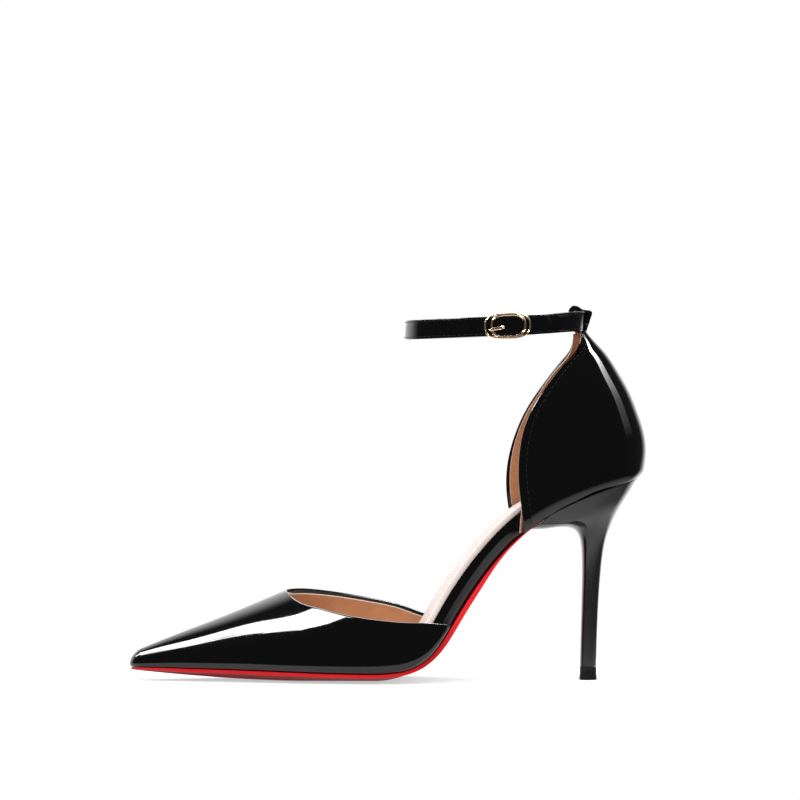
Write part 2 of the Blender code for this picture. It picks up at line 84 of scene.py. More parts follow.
# %% Select, edit, modify
def pick(piece):
    """Makes one piece the only selected one."""
    bpy.ops.object.select_all(action="DESELECT")
    piece.select_set(True)
    bpy.context.view_layer.objects.active = piece


def edit_all(piece, *steps):
    """Runs edit-mode operators over the whole of a piece."""
    pick(piece)
    bpy.ops.object.mode_set(mode="EDIT")
    bpy.ops.mesh.select_all(action="SELECT")
    for operator, settings in steps:
        operator(**settings)
    bpy.ops.object.mode_set(mode="OBJECT")


def modify(piece, kind, **settings):
    """Adds one modifier, sets it and applies it."""
    pick(piece)
    bpy.ops.object.modifier_add(type=kind)
    added = piece.modifiers[-1]
    for name, value in settings.items():
        setattr(added, name, value)
    bpy.ops.object.modifier_apply(modifier=added.name)


def join(name, pieces):
    """Joins several pieces into the first one."""
    bpy.ops.object.select_all(action="DESELECT")
    for piece in pieces:
        piece.select_set(True)
    bpy.context.view_layer.objects.active = pieces[0]
    bpy.ops.object.join()
    pieces[0].name = pieces[0].data.name = name
    return pieces[0]


# %% Grids and tubes
MERGE = 0.000004
SHARP_FROM = math.radians(50.0)
SMOOTH_UP_TO = math.radians(48.0)


def laid_grid(name, columns, rows, point, rim=None):
    """A grid whose points are laid on a surface; point takes the column and the row, in millimetres."""
    bpy.ops.object.select_all(action="DESELECT")
    bpy.ops.mesh.primitive_grid_add(x_subdivisions=columns, y_subdivisions=rows, size=2.0)
    piece = bpy.context.object
    piece.name = piece.data.name = name
    marks = piece.data.attributes.new("rim", "FLOAT", "POINT") if rim else None
    for corner in piece.data.vertices:
        column = round((corner.co.x + 1.0) * columns / 2.0)
        row = round((corner.co.y + 1.0) * rows / 2.0)
        corner.co = Vector(point(column, row)) * MM
        if rim:
            marks.data[corner.index].value = rim(column, row)
    return piece


def tube(name, rings, closed=False):
    """A closed skin over rings of equal count; open ends are gathered to their middles."""
    rings = [[Vector(p) for p in ring] for ring in rings]
    count = len(rings[0])
    if closed:
        rings.append(rings[0])
    else:
        first, last = [sum(rings[k], Vector()) / count for k in (0, -1)]
        rings = [[first] * count] + rings + [[last] * count]
    piece = laid_grid(name, len(rings) - 1, count, lambda i, j: rings[i][j % count])
    close_up(piece)
    return piece


def both_sides(half):
    """A whole ring from one half, given as (across, height) from one middle to the other."""
    return half + [(-a, h) for a, h in reversed(half[1:-1])]


def close_up(piece, threshold=MERGE):
    """Merges the points that meet and turns the faces outwards."""
    edit_all(
        piece,
        (bpy.ops.mesh.remove_doubles, {"threshold": threshold}),
        (bpy.ops.mesh.normals_make_consistent, {"inside": False}),
    )


def face_out(piece):
    """Turns an open skin so that its faces look away from its middle."""
    faces = piece.data.polygons
    middle = sum((f.center for f in faces), Vector()) / len(faces)
    if sum((f.center - middle).dot(f.normal) * f.area for f in faces) < 0.0:
        edit_all(piece, (bpy.ops.mesh.flip_normals, {}))


# %% Walls and finishing
def wall(piece, thick, round_by, even=True, share=None):
    """Gives an open skin a wall on its inner side and rounds the marked rims; share makes a round smaller."""
    modify(piece, "SOLIDIFY", thickness=thick * MM, offset=-1.0, use_even_offset=even)
    edit_all(
        piece,
        (bpy.ops.mesh.select_mode, {"type": "EDGE"}),
        (bpy.ops.mesh.select_all, {"action": "DESELECT"}),
        (bpy.ops.mesh.edges_select_sharp, {"sharpness": SHARP_FROM}),
    )
    corners = piece.data.vertices
    marks = [mark.value for mark in piece.data.attributes["rim"].data]
    weights = piece.data.attributes.new("bevel_weight_edge", "FLOAT", "EDGE")
    for edge in piece.data.edges:
        a, b = edge.vertices
        if edge.select and marks[a] + marks[b] > 1.5:
            weights.data[edge.index].value = share(corners[a].co / MM) if share else 1.0
    modify(piece, "BEVEL", width=round_by * MM, segments=4, limit_method="WEIGHT", use_clamp_overlap=False)


def place(piece, slot, finish, *nodes):
    """Smooths a finished piece, dresses it and lets it ride with the shoe."""
    pick(piece)
    bpy.ops.object.shade_smooth_by_angle(angle=SMOOTH_UP_TO)
    piece.data.materials.clear()
    piece.data.materials.append(finish)
    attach(piece, "root")
    if nodes:
        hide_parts(*nodes)
    triangles = sum(len(f.vertices) - 2 for f in piece.data.polygons)
    print(f"{piece.name}: {triangles} triangles")


# %% [markdown]
# ## The last
# A last is described by a few sections: the height of its bottom edge, its centre line and half width.
# A smooth curve through each column of a short table gives every section between them.
# These are the sizes of the solids, so the skins lie where the solids are.

# %% Smooth tables
def curve_through(xs, ys):
    """Natural cubic curve through the rows of a table."""
    xs = np.asarray(xs, float)
    ys = np.asarray(ys, float)
    count = len(xs)
    step = np.diff(xs)
    left = np.eye(count)
    right = np.zeros(count)
    for i in range(1, count - 1):
        left[i, i - 1:i + 2] = step[i - 1], 2.0 * (step[i - 1] + step[i]), step[i]
        right[i] = 6.0 * ((ys[i + 1] - ys[i]) / step[i] - (ys[i] - ys[i - 1]) / step[i - 1])
    bend = np.linalg.solve(left, right)

    @lru_cache(maxsize=None)
    def at(x):
        k = int(np.clip(np.searchsorted(xs, x) - 1, 0, count - 2))
        before = xs[k + 1] - x
        after = x - xs[k]
        cubic = (bend[k] * before ** 3 + bend[k + 1] * after ** 3) / (6.0 * step[k])
        linear = (ys[k] / step[k] - bend[k] * step[k] / 6.0) * before
        return float(cubic + linear + (ys[k + 1] / step[k] - bend[k + 1] * step[k] / 6.0) * after)

    return at


def table(names, *rows):
    """One smooth curve for each named column, by the first column."""
    columns = list(zip(*rows))
    return {name: curve_through(columns[0], column) for name, column in zip(names.split()[1:], columns[1:])}


def ease(low, high, x):
    share = min(max((x - low) / (high - low), 0.0), 1.0)
    return share * share * (3.0 - 2.0 * share)


def between(first, last, share):
    return first + (last - first) * share


def along_shoe(x, first, *changes):
    """A size that eases to the next one between two places along the shoe."""
    size = first
    for low, high, after in changes:
        size += (after - size) * ease(low, high, x)
    return size


# %% Sections of the bottom
TOE_X = -115.0
SEAT_BACK_X = 113.2
TOE_ROUND = 5.0
SEAT_ROUND = 27.0
GAP = 0.3
FLAT_FROM_X = -38.0
FLAT_TO_X = -5.0

BOTTOM = table(
    "x       seat  centre half",
    (-115.0, 6.2,  4.0,   5.0),
    (-85.0,  5.9,  3.4,   15.4),
    (-60.0,  5.5,  2.4,   24.4),
    (-35.0,  4.9,  1.2,   32.2),
    (-12.0,  4.5,  0.2,   36.4),
    (2.0,    5.0,  -0.5,  36.6),
    (9.3,    6.5,  -1.0,  35.4),
    (16.4,   10.3, -1.4,  33.2),
    (23.6,   18.2, -1.7,  30.6),
    (30.7,   29.5, -1.8,  28.0),
    (45.1,   50.5, -1.4,  24.8),
    (59.2,   65.2, -0.8,  24.4),
    (75.9,   76.2, 0.0,   26.2),
    (100.5,  86.5, 0.0,   27.2),
    (116.0,  91.4, 0.0,   27.2),
)


# %% Points on the bottom
def nose(depth, reach):
    """Share of the full width at a depth behind a rounded end."""
    share = min(max(depth / reach, 0.0), 1.0)
    return math.sqrt(1.0 - (1.0 - share) ** 2)


def half_width(x, inset=0.0):
    toe = nose(x - TOE_X - inset, TOE_ROUND)
    heel = nose(SEAT_BACK_X - inset - x, SEAT_ROUND - inset)
    return max(BOTTOM["half"](x) - inset, 0.0) * toe * heel


def tilt(x):
    """Slope of the bottom of the last; the tread lies level."""
    if x < FLAT_TO_X:
        return 0.0
    return math.atan((BOTTOM["seat"](x + 0.05) - BOTTOM["seat"](x - 0.05)) / 0.1)


def on_bottom(x, y, height):
    """A point at a height square to the bottom of the last."""
    angle = tilt(x)
    return (
        x - height * math.sin(angle),
        BOTTOM["centre"](x) + y,
        BOTTOM["seat"](x) + height * math.cos(angle),
    )


def rounded_run(first, last, count, round_first=0.0, round_last=0.0, turns=10):
    """Places along the shoe, crowded by a quarter turn at an end that is rounded."""
    quarter = math.pi / 2.0
    places = []
    if round_first:
        places += [first + round_first * (1.0 - math.cos(quarter * k / turns)) for k in range(1, turns)]
    places += list(np.linspace(first + round_first, last - round_last, count))
    if round_last:
        places += [last - round_last * (1.0 - math.sin(quarter * k / turns)) for k in range(1, turns)]
    return [float(p) for p in places]


print("seat of the last at the ball:", round(BOTTOM["seat"](-12.0), 2), "mm")

# %% [markdown]
# ## Finishes
# Patent leather is black leather under a clear film, so it is nearly a black mirror.
# Its character is in the way reflections waver, and that needs only a faint bump.
# The linings are the opposite: matt, mottled and full of pores.
# A small class keeps the node sums readable: an expression on a wire adds its Math nodes.

# %% Shader sums
class Wire:
    """An output socket of a node; sums with it add Math nodes."""

    def __init__(self, finish, socket):
        self.finish = finish
        self.socket = socket

    def reckon(self, operation, first, second):
        return self.finish.node("Math", {"operation": operation}, {0: first, 1: second})

    def __add__(self, other):
        return self.reckon("ADD", self, other)

    def __sub__(self, other):
        return self.reckon("SUBTRACT", self, other)

    def __rsub__(self, other):
        return self.reckon("SUBTRACT", other, self)

    def __mul__(self, other):
        return self.reckon("MULTIPLY", self, other)

    def __pow__(self, other):
        return self.reckon("POWER", self, other)

    __radd__ = __add__
    __rmul__ = __mul__


# %% Node trees
class Nodes:
    """The node tree of a material, a light or the world."""

    def __init__(self, owner):
        owner.use_nodes = True
        self.tree = owner.node_tree

    def plug(self, socket, value):
        if isinstance(value, Wire):
            self.tree.links.new(value.socket, socket)
        elif isinstance(value, tuple) and len(value) == 3 and socket.type == "RGBA":
            socket.default_value = (*value, 1.0)
        else:
            socket.default_value = value

    def node(self, kind, settings=None, inputs=None, output=0):
        """Adds one node: its settings first, then the values or wires of its sockets."""
        made = self.tree.nodes.new("ShaderNode" + kind)
        for name, value in (settings or {}).items():
            setattr(made, name, value)
        for name, value in (inputs or {}).items():
            self.plug(made.inputs[name], value)
        return Wire(self, made.outputs[output])

    def ramp(self, value, low, high, first=0.0, last=1.0, smooth=False):
        """Goes from the first level to the last one while a value goes from low to high."""
        kind = {"interpolation_type": "SMOOTHSTEP"} if smooth else None
        ends = {"Value": value, "From Min": low, "From Max": high, "To Min": first, "To Max": last}
        return self.node("MapRange", kind, ends)


# %% Materials
class Finish(Nodes):
    """A material while it is made: its nodes and the shader that ends it."""

    def __init__(self, name):
        self.material = bpy.data.materials.new(name)
        super().__init__(self.material)
        self.shader = self.tree.nodes["Principled BSDF"]
        self.where = self.node("TexCoord", output="Object")

    def noise(self, scale, detail, rough):
        inputs = {"Vector": self.where, "Scale": scale, "Detail": detail, "Roughness": rough}
        return self.node("TexNoise", None, inputs)

    def blend(self, share, first, second):
        return self.node("Mix", {"data_type": "RGBA"}, {"Factor": share, 6: first, 7: second}, 2)

    def bump(self, height, depth):
        """A bump whose full height is a depth in millimetres."""
        return self.node("Bump", None, {"Height": height, "Strength": 1.0, "Distance": depth * MM})

    def set(self, **sockets):
        for name, value in sockets.items():
            self.plug(self.shader.inputs[name.replace("_", " ")], value)
        return self.material


# %% Glossy finishes
def glossy_film(name, black, haze, roughness, spread, waves, depth, specular):
    """Black under a smooth film: faint waves bend its reflections, a dust-fine haze changes its gloss."""
    made = Finish(name)
    return made.set(
        Base_Color=black,
        Roughness=roughness + spread * made.noise(haze, 3.0, 0.6),
        Normal=made.bump(made.noise(waves, 2.0, 0.4), depth),
        Specular_IOR_Level=specular,
    )


def pale_gold():
    """Thin gold plating: bright, with fine polishing marks."""
    made = Finish("pale_gold")
    marks = made.noise(900.0, 4.0, 0.7)
    return made.set(
        Base_Color=made.blend(marks, (0.94, 0.71, 0.46), (1.0, 0.82, 0.59)),
        Metallic=1.0,
        Roughness=0.07 + 0.10 * marks,
        Normal=made.bump(marks, 0.004),
    )


# %% Matt finishes
def soft_leather(name, light, dark, cut, roughness, pores_per_metre, depth):
    """Unglazed leather: mottled colour, a net of fine pores painted darker as shade in their hollows, a soft
    sheen, and a pale cut along its rim that is painted light as a highlight on the edge.
    """
    made = Finish(name)
    mottle = made.noise(70.0, 5.0, 0.62)
    pores = made.node(
        "TexVoronoi",
        {"feature": "DISTANCE_TO_EDGE"},
        {"Vector": made.where, "Scale": pores_per_metre, "Randomness": 1.0},
    )
    grain = pores ** 0.5
    fine = made.noise(pores_per_metre * 1.7, 3.0, 0.6)
    mottled = made.blend(made.ramp(mottle, 0.32, 0.68), dark, light)
    # Painted shade: the pores are darkened, as shade in their hollows.
    shade = made.ramp(grain, 0.0, 0.35, 0.86)
    darken = {"data_type": "RGBA", "blend_type": "MULTIPLY"}
    shaded = made.node("Mix", darken, {"Factor": 1.0, 6: mottled, 7: shade}, 2)
    # Painted highlight: the marked rims take the pale cut colour, a cut edge painted light to stand for its
    # gleam.
    rim = made.node("Attribute", {"attribute_name": "rim"}, None, "Fac")
    return made.set(
        Base_Color=made.blend(made.ramp(rim, 0.8, 0.95, smooth=True), shaded, cut),
        Roughness=roughness + 0.12 * fine,
        Normal=made.bump(grain + 0.6 * fine, depth),
        Specular_IOR_Level=0.35,
    )


def sole_leather():
    """Red dye over smooth sole leather: nearly even, with a satin gloss and faint brushing."""
    made = Finish("red_sole_leather")
    cloud = made.noise(45.0, 4.0, 0.6)
    brushed = made.node("Mapping", None, {"Vector": made.where, "Scale": (60.0, 900.0, 900.0)})
    lines = made.node("TexNoise", None, {"Vector": brushed, "Scale": 1.0, "Detail": 3.0})
    return made.set(
        Base_Color=made.blend(cloud, (0.66, 0.018, 0.022), (0.76, 0.022, 0.027)),
        Roughness=0.30 + 0.14 * lines,
        Normal=made.bump(lines, 0.01),
        Specular_IOR_Level=0.02,
    )


def dull_grain(name, colour, grain, roughness, depth, specular):
    """A matt body, rubber or waxed thread, whose fine grain shows in its gloss and as a bump."""
    made = Finish(name)
    fine = made.noise(*grain)
    return made.set(
        Base_Color=colour,
        Roughness=roughness + 0.2 * fine,
        Normal=made.bump(fine, depth),
        Specular_IOR_Level=specular,
    )


# %% The finishes of the shoe
MOULDED = (1600.0, 3.0, 0.6)
TWIST = (2600.0, 2.0, 0.5)
PATENT = glossy_film(
    "patent_leather", (0.0014, 0.0014, 0.0015),
    haze=420.0, roughness=0.025, spread=0.03, waves=55.0, depth=0.02, specular=0.42,
)
LACQUER = glossy_film(
    "heel_lacquer", (0.011, 0.011, 0.0112),
    haze=300.0, roughness=0.12, spread=0.08, waves=70.0, depth=0.012, specular=0.5,
)
GOLD = pale_gold()
# The pale cut colours are painted highlights on marked rims. The insole's rims are not marked, so its cut
# colour does not show.
TAN_LINING = soft_leather(
    "tan_lining", light=(0.57, 0.255, 0.115), dark=(0.46, 0.19, 0.082), cut=(0.84, 0.72, 0.60),
    roughness=0.52, pores_per_metre=1500.0, depth=0.03,
)
NUDE_INSOLE = soft_leather(
    "nude_insole", light=(0.74, 0.635, 0.595), dark=(0.66, 0.55, 0.51), cut=(0.78, 0.70, 0.66),
    roughness=0.50, pores_per_metre=1300.0, depth=0.05,
)
RED_SOLE = sole_leather()
RUBBER = dull_grain("tip_rubber", (0.004, 0.004, 0.004), MOULDED, roughness=0.45, depth=0.02, specular=0.12)
THREAD = {"grain": TWIST, "roughness": 0.5, "depth": 0.03, "specular": 0.1}
BLACK_THREAD = dull_grain("black_thread", (0.010, 0.010, 0.011), **THREAD)
BROWN_THREAD = dull_grain("brown_thread", (0.24, 0.10, 0.055), **THREAD)
print("finishes:", len([m for m in bpy.data.materials if m.users == 0]))

# %% [markdown]
# ## Outsole
# One thin sheet of red leather runs from the toe tip over the arch and ends as a flap on the heel's lip.
# It touches the floor under the ball only, rises a little at the toe, and its edge shows as a red line.
# A cut sheet with a wall would be flat, so the sole is a tube of rings, each round one section:
# level in the middle, crowned, then a thin upright edge with broken corners, drawn in at the waist.
# Nothing takes soft light from it, because the photo has no red glow beside the sole.

# %% Sizes of the outsole
TREAD_END_X = 11.0
TOE_SPRING = 4.9
SPRING_POWER = 1.7
CROWN_POWER = 2.2
SOLE_WAIST_DEPTH = 3.0
SOLE_FLAP = 0.8
SOLE_FLAP_END_X = 70.5
FLAP_FADE = (36.0, 54.0)
SOLE_EDGE = (0.8, (-115.0, -85.0, 1.6), (5.0, 25.0, 2.2), (*FLAP_FADE, SOLE_FLAP), (50.0, 69.0, 0.25))
SOLE_INSET = (0.7, (-115.0, -85.0, 2.0), (0.0, 20.0, 6.0))
TREAD_FLAT = 0.2
SOLE_CROWN = (0.25, 0.31, 0.38, 0.46, 0.56, 0.68, 0.82, 0.93)
CORNER = 0.1


# %% Outsole
def sole_depth(x):
    """Depth of the sole's middle below the last, so that the tread touches the floor."""
    reach = (FLAT_FROM_X - x) / (FLAT_FROM_X - TOE_X)
    tread = BOTTOM["seat"](x) - TOE_SPRING * max(reach, 0.0) ** SPRING_POWER
    waist = along_shoe(x, SOLE_WAIST_DEPTH, (*FLAP_FADE, SOLE_FLAP + GAP), (50.0, 69.0, 0.25 + GAP))
    share = ease(FLAT_TO_X, TREAD_END_X, x)
    return tread * (1.0 - share) + waist * share


def sole_ring(x):
    wide = max(half_width(x, along_shoe(x, *SOLE_INSET)), 0.6)
    low = -GAP - along_shoe(x, *SOLE_EDGE)
    deep = max(sole_depth(x), -low)
    half = [(0.0, -deep), (0.5 * TREAD_FLAT * wide, -deep), (TREAD_FLAT * wide, -deep)]
    for f in SOLE_CROWN:
        rise = 1.0 - ((1.0 - f) / (1.0 - TREAD_FLAT)) ** CROWN_POWER
        half.append((f * wide, -deep + (deep + low) * rise))
    half += [(wide, low + CORNER), (wide, -GAP - CORNER), (wide - CORNER, -GAP)]
    half += [(0.5 * wide, -GAP), (0.0, -GAP)]
    return [on_bottom(x, -a, h) for a, h in both_sides(half)]


sole_places = rounded_run(TOE_X + SOLE_INSET[0], SOLE_FLAP_END_X, 150, round_first=TOE_ROUND)
outsole = tube("outsole_skin", [sole_ring(x) for x in sole_places])
outsole.visible_diffuse = False
place(outsole, "red_sole", RED_SOLE, "outsole")

# %% [markdown]
# ## Insole board and insole
# At the open waist the board that the shoe is built on shows as a black band, wrapped in patent leather.
# Above it lies the insole of pale leather, whose edge is turned over and reads as a light stripe.
# Both follow the bottom of the last, so they are rings too, with a bulge on each side.
# The board's lower half leans in at the waist and mirrors the floor, which draws a grey band above the sole.
# Inside the vamp and the counter the insole widens towards their linings.

# %% Sizes of the board and the insole
VAMP_WALL = 1.6
COUNTER_WALL = 1.8
WING_END_X = 27.4
BOARD_CLEARANCE = (0.6, (52.0, 66.0, 2.5))
BOARD_BULGE = (0.0, (0.0, 25.0, 0.5), (55.0, 70.0, 0.0))
BOARD_UNDER = (0.0, (16.0, 30.0, 2.4), (54.0, 64.0, 0.0))
LEAN_BELOW = 0.62
LEAN_SLOPE = 1.6
LEAN_FOOT = 0.08
PAD_INSET = 0.6
PAD_BULGE = 0.6
PAD_GROW = (0.0, (-95.0, -75.0, 1.4), (4.0, 22.0, 0.0), (58.0, 86.0, 1.7), (95.0, 112.0, 4.6))

INSIDE = table(
    "x       board pad",
    (-115.0, 2.2,  1.4),
    (-60.0,  2.4,  1.5),
    (-10.0,  2.6,  1.6),
    (8.0,    4.8,  2.2),
    (24.0,   7.5,  2.6),
    (50.0,   7.8,  2.6),
    (66.0,   7.8,  2.6),
    (84.0,   5.4,  2.0),
    (116.0,  4.0,  1.6),
)
VAMP = table(
    "x       ridge  roll_up roll_in room",
    (-115.0, 12.2,  1.4,    0.7,    0.6),
    (-97.0,  19.6,  2.1,    1.7,    1.6),
    (-75.5,  28.0,  2.4,    2.2,    2.4),
    (-54.0,  37.0,  2.6,    2.4,    2.6),
    (-43.5,  41.6,  2.7,    2.4,    2.6),
    (-25.0,  50.5,  2.9,    2.5,    2.6),
    (0.0,    63.0,  3.3,    2.5,    2.6),
    (30.0,   80.0,  3.6,    2.6,    2.6),
)


# %% Rings of the board and the insole
def inside_inset(x):
    """Room left at each side for the walls of the upper."""
    return VAMP["room"](min(x, WING_END_X)) + COUNTER_WALL + along_shoe(x, *BOARD_CLEARANCE)


def layer_ring(x, inset, low, high, bulge, power, under=0.0):
    """A layer whose side is bowed out; a high power keeps it upright, and its lower half may lean in."""
    wide = max(half_width(x, inset), PAD_INSET)
    side = []
    for f in np.linspace(0.0, 1.0, 17):
        lean = under * (max(LEAN_BELOW - f, 0.0) * LEAN_SLOPE + max(LEAN_FOOT - f, 0.0))
        side.append((wide + bulge * (1.0 - abs(2.0 * f - 1.0) ** power) - lean, low + (high - low) * f))
    side = [(0.0, low), (0.7 * wide, low)] + side + [(0.95 * wide, high), (0.6 * wide, high), (0.0, high)]
    return [on_bottom(x, -a, h) for a, h in both_sides(side)]


def board_ring(x):
    under = along_shoe(x, *BOARD_UNDER)
    return layer_ring(x, inside_inset(x), 0.0, INSIDE["board"](x), along_shoe(x, *BOARD_BULGE), 4.0, under)


def pad_ring(x):
    low = INSIDE["board"](x) + GAP
    inset = inside_inset(x) + PAD_INSET - PAD_BULGE - along_shoe(x, *PAD_GROW)
    return layer_ring(x, inset, low, low + INSIDE["pad"](x), PAD_BULGE, 3.0)


# %% Insole board and insole
def inside_places(extra, grown=0.0):
    first = TOE_X + inside_inset(TOE_X) + extra
    inset = inside_inset(SEAT_BACK_X) - grown
    return rounded_run(first, SEAT_BACK_X - inset - extra, 140, TOE_ROUND, SEAT_ROUND - inset)


board = tube("insole_board_skin", [board_ring(x) for x in inside_places(0.0)])
place(board, "black_patent", PATENT, "insole_board")
pad_places = inside_places(PAD_INSET, along_shoe(SEAT_BACK_X, *PAD_GROW))
insole = tube("insole_skin", [pad_ring(x) for x in pad_places])
place(insole, "nude_leather", NUDE_INSOLE, "sock_lining")

# %% [markdown]
# ## Vamp
# The vamp is pulled over the toe: it rolls in under the lasted edge, stands up and arches over to the ridge.
# Behind the throat it splits into two wings, lower on the outer side.
# It could be cut from a closed toe, but the cut edge would run across the mesh and show in the gloss.
# So each half is a grid from the lasted edge up to the topline, with its rows crowded towards that line.
# The halves are joined along the ridge and given a wall, and only the topline is rounded.

# %% Vamp sections
THROAT_X = -45.3
ROLL_SHARE = 0.16
ROLL_START = math.radians(6.0)

TOPLINE = table(
    "x       outer  inner",
    (-45.3,  40.7,  40.7),
    (-41.0,  37.0,  41.0),
    (-32.5,  33.8,  40.5),
    (-18.5,  30.5,  38.4),
    (-4.5,   28.4,  35.7),
    (8.0,    27.3,  32.7),
    (17.0,   27.0,  29.4),
    (27.4,   25.9,  26.4),
)


def vamp_section(x, side, share):
    """A point on the outer face: rolled in at the bottom, then an arch up to the ridge."""
    w = half_width(x)
    roll_up = VAMP["roll_up"](x)
    slope = 1e6
    if x > TOE_X + 1e-4:
        slope = (half_width(x + 0.01) - half_width(x - 0.01)) / 0.02
    turn = 1.0 / math.hypot(1.0, slope)
    out = (-slope * turn, side * turn)
    base = BOTTOM["seat"](x)
    centre = BOTTOM["centre"](x)
    rise = (VAMP["ridge"](x) - base - roll_up) * nose(x - TOE_X, TOE_ROUND)
    if share < ROLL_SHARE:
        angle = ROLL_START + (math.pi / 2.0 - ROLL_START) * share / ROLL_SHARE
        inward = VAMP["roll_in"](x) * (1.0 - math.sin(angle)) / (1.0 - math.sin(ROLL_START))
        up = roll_up * (1.0 - math.cos(angle) / math.cos(ROLL_START))
        return (x - out[0] * inward, centre + side * w - out[1] * inward, base + up)
    angle = math.pi / 2.0 * (share - ROLL_SHARE) / (1.0 - ROLL_SHARE)
    return (x, centre + side * w * math.cos(angle), base + roll_up + rise * math.sin(angle))


# %% Topline and places of the vamp
@lru_cache(maxsize=None)
def top_share(x, side, drop=0.0):
    """Share of the section that reaches the topline, or a line that lies lower by a drop."""
    if x + drop <= THROAT_X + 1e-6:
        return 1.0
    base = BOTTOM["seat"](x)
    lower = drop * ease(THROAT_X - drop, THROAT_X + 4.0, x)
    up = TOPLINE["outer" if side < 0 else "inner"](x + drop) - lower - base
    roll_up = VAMP["roll_up"](x)
    rise = VAMP["ridge"](x) - base - roll_up
    if up > roll_up:
        angle = math.asin(min((up - roll_up) / rise, 1.0))
        return ROLL_SHARE + (1.0 - ROLL_SHARE) * angle / (math.pi / 2.0)
    angle = math.acos((1.0 - up / roll_up) * math.cos(ROLL_START))
    return ROLL_SHARE * (angle - ROLL_START) / (math.pi / 2.0 - ROLL_START)


def vamp_places(throat, end):
    """Places from the toe tip to the throat and on to the end of the wings, crowded at both turns."""
    tip = [TOE_X + TOE_ROUND * (1.0 - math.cos(a)) for a in np.linspace(0.0, math.pi / 2.0, 25)[:-1]]
    length = throat - TOE_X - TOE_ROUND
    body = [throat - length * s * (0.2 + 2.1 * s - 1.3 * s * s) for s in np.linspace(1.0, 0.0, 84)]
    wing = [throat + (end - throat) * (0.75 * s * s + 0.25 * s) for s in np.linspace(0.0, 1.0, 100)[1:]]
    return [float(p) for p in tip + body + wing]


# %% Halves of the vamp
VAMP_ROWS = 52
TOPLINE_ROUND = 0.6
RIDGE_MERGE = 0.00002
RIM_ROW = 1.1
SLANT = 16.0


def cut(top, share):
    """Share of the section for a row: low rows keep their place, the upper ones crowd below the topline."""
    power = max(1.0, min(4.0, 0.5 / max(1.0 - top, 1e-6)))
    return share - (1.0 - top) * share ** power


def upper_half(name, side, places, drop):
    """One half of the vamp: columns lean back towards the throat, and the last row lies close to the rim."""

    def at(x, share):
        slant = SLANT * ease(TOE_X, THROAT_X, x) * (1.0 - ease(THROAT_X, -8.0, x))
        return vamp_section(x - slant * (1.0 - share * share), side, cut(top_share(x, side, drop), share))

    @lru_cache(maxsize=None)
    def last_row(i):
        step = (Vector(at(places[i], 1.0)) - Vector(at(places[i], 0.96))).length / 0.04
        return 1.0 - RIM_ROW / max(step, 2.5 * RIM_ROW)

    def laid(i, j):
        return at(places[i], 1.0 if j == VAMP_ROWS else last_row(i) * j / (VAMP_ROWS - 1))

    def on_rim(i, j):
        return float(j == VAMP_ROWS and places[i] > THROAT_X - drop - 0.5)

    return laid_grid(name, len(places) - 1, VAMP_ROWS, laid, on_rim)


def both_halves(name, places, drop):
    piece = join(name, [upper_half(name + str(side), side, places, drop) for side in (-1, 1)])
    close_up(piece, RIDGE_MERGE)
    face_out(piece)
    return piece


# %% Vamp
vamp = both_halves("vamp_skin", vamp_places(THROAT_X, WING_END_X), 0.0)
wall(vamp, VAMP_WALL, TOPLINE_ROUND, share=lambda p: 1.0 - 0.75 * ease(12.0, WING_END_X, p.x))
place(vamp, "black_patent", PATENT, "vamp")

# %% [markdown]
# ## Vamp lining
# Inside, a tan leather lining ends a little below the topline, where the patent leather is turned over.
# It is the same pair of halves with its own throat, moved in by the thickness of the wall.

# %% Vamp lining
TURN_IN = 1.1
LINING_THICK = 0.6
LINING_GAP = 0.03
LINING_ROUND = 0.12

lining_places = vamp_places(THROAT_X - TURN_IN, WING_END_X - 2.0 * TURN_IN)
vamp_lining = both_halves("vamp_lining", lining_places, TURN_IN)
modify(vamp_lining, "DISPLACE", direction="NORMAL", mid_level=0.0, strength=-(VAMP_WALL + LINING_GAP) * MM)
wall(vamp_lining, LINING_THICK, LINING_ROUND, even=False)
# Its top rim takes the pale cut colour: a painted highlight along the edge.
place(vamp_lining, "nude_leather", TAN_LINING)

# %% [markdown]
# ## Counter
# The counter stands round the heel and sweeps up to a narrow neck behind the ankle.
# A bent sheet would keep one curve all the way up, but here every row has its own:
# it bends round the back and runs on to the front edge, which is turned over and stitched.
# So a band of three millimetres along the edge stands a little proud, and runs out towards the neck.

# %% Counter sections
COUNTER = table(
    "share back_x back_z front_x front_z lead wide front_wide round",
    (0.00, 113.4, 90.4,  59.9,   66.2,   1.4, 25.6, 21.8, 25.0),
    (0.04, 115.1, 92.3,  59.7,   70.0,   1.8, 27.9, 23.6, 26.5),
    (0.10, 116.1, 95.6,  59.1,   75.6,   2.3, 28.7, 24.4, 28.0),
    (0.22, 116.8, 101.8, 57.8,   86.6,   2.6, 28.4, 24.1, 29.0),
    (0.40, 115.8, 111.2, 57.8,   100.6,  1.7, 27.3, 23.5, 28.5),
    (0.55, 113.0, 120.0, 60.0,   112.0,  0.4, 25.8, 22.8, 27.0),
    (0.69, 108.8, 130.2, 65.2,   123.7,  0.0, 23.5, 21.6, 25.0),
    (0.80, 103.8, 138.9, 72.4,   134.0,  0.3, 19.6, 18.9, 22.5),
    (0.89, 97.9,  147.4, 80.4,   143.3,  1.2, 13.8, 13.6, 19.0),
    (0.95, 93.1,  152.4, 85.6,   149.6,  2.1, 9.4,  9.4,  15.0),
    (1.00, 89.2,  157.0, 88.0,   156.8,  3.6, 6.4,  6.4,  11.0),
)


# %% Points on the counter
COUNTER_MIDDLE = Vector((85.0, 0.0, 110.0))


@lru_cache(maxsize=None)
def counter_row(share):
    return {name: curve(share) for name, curve in COUNTER.items()}


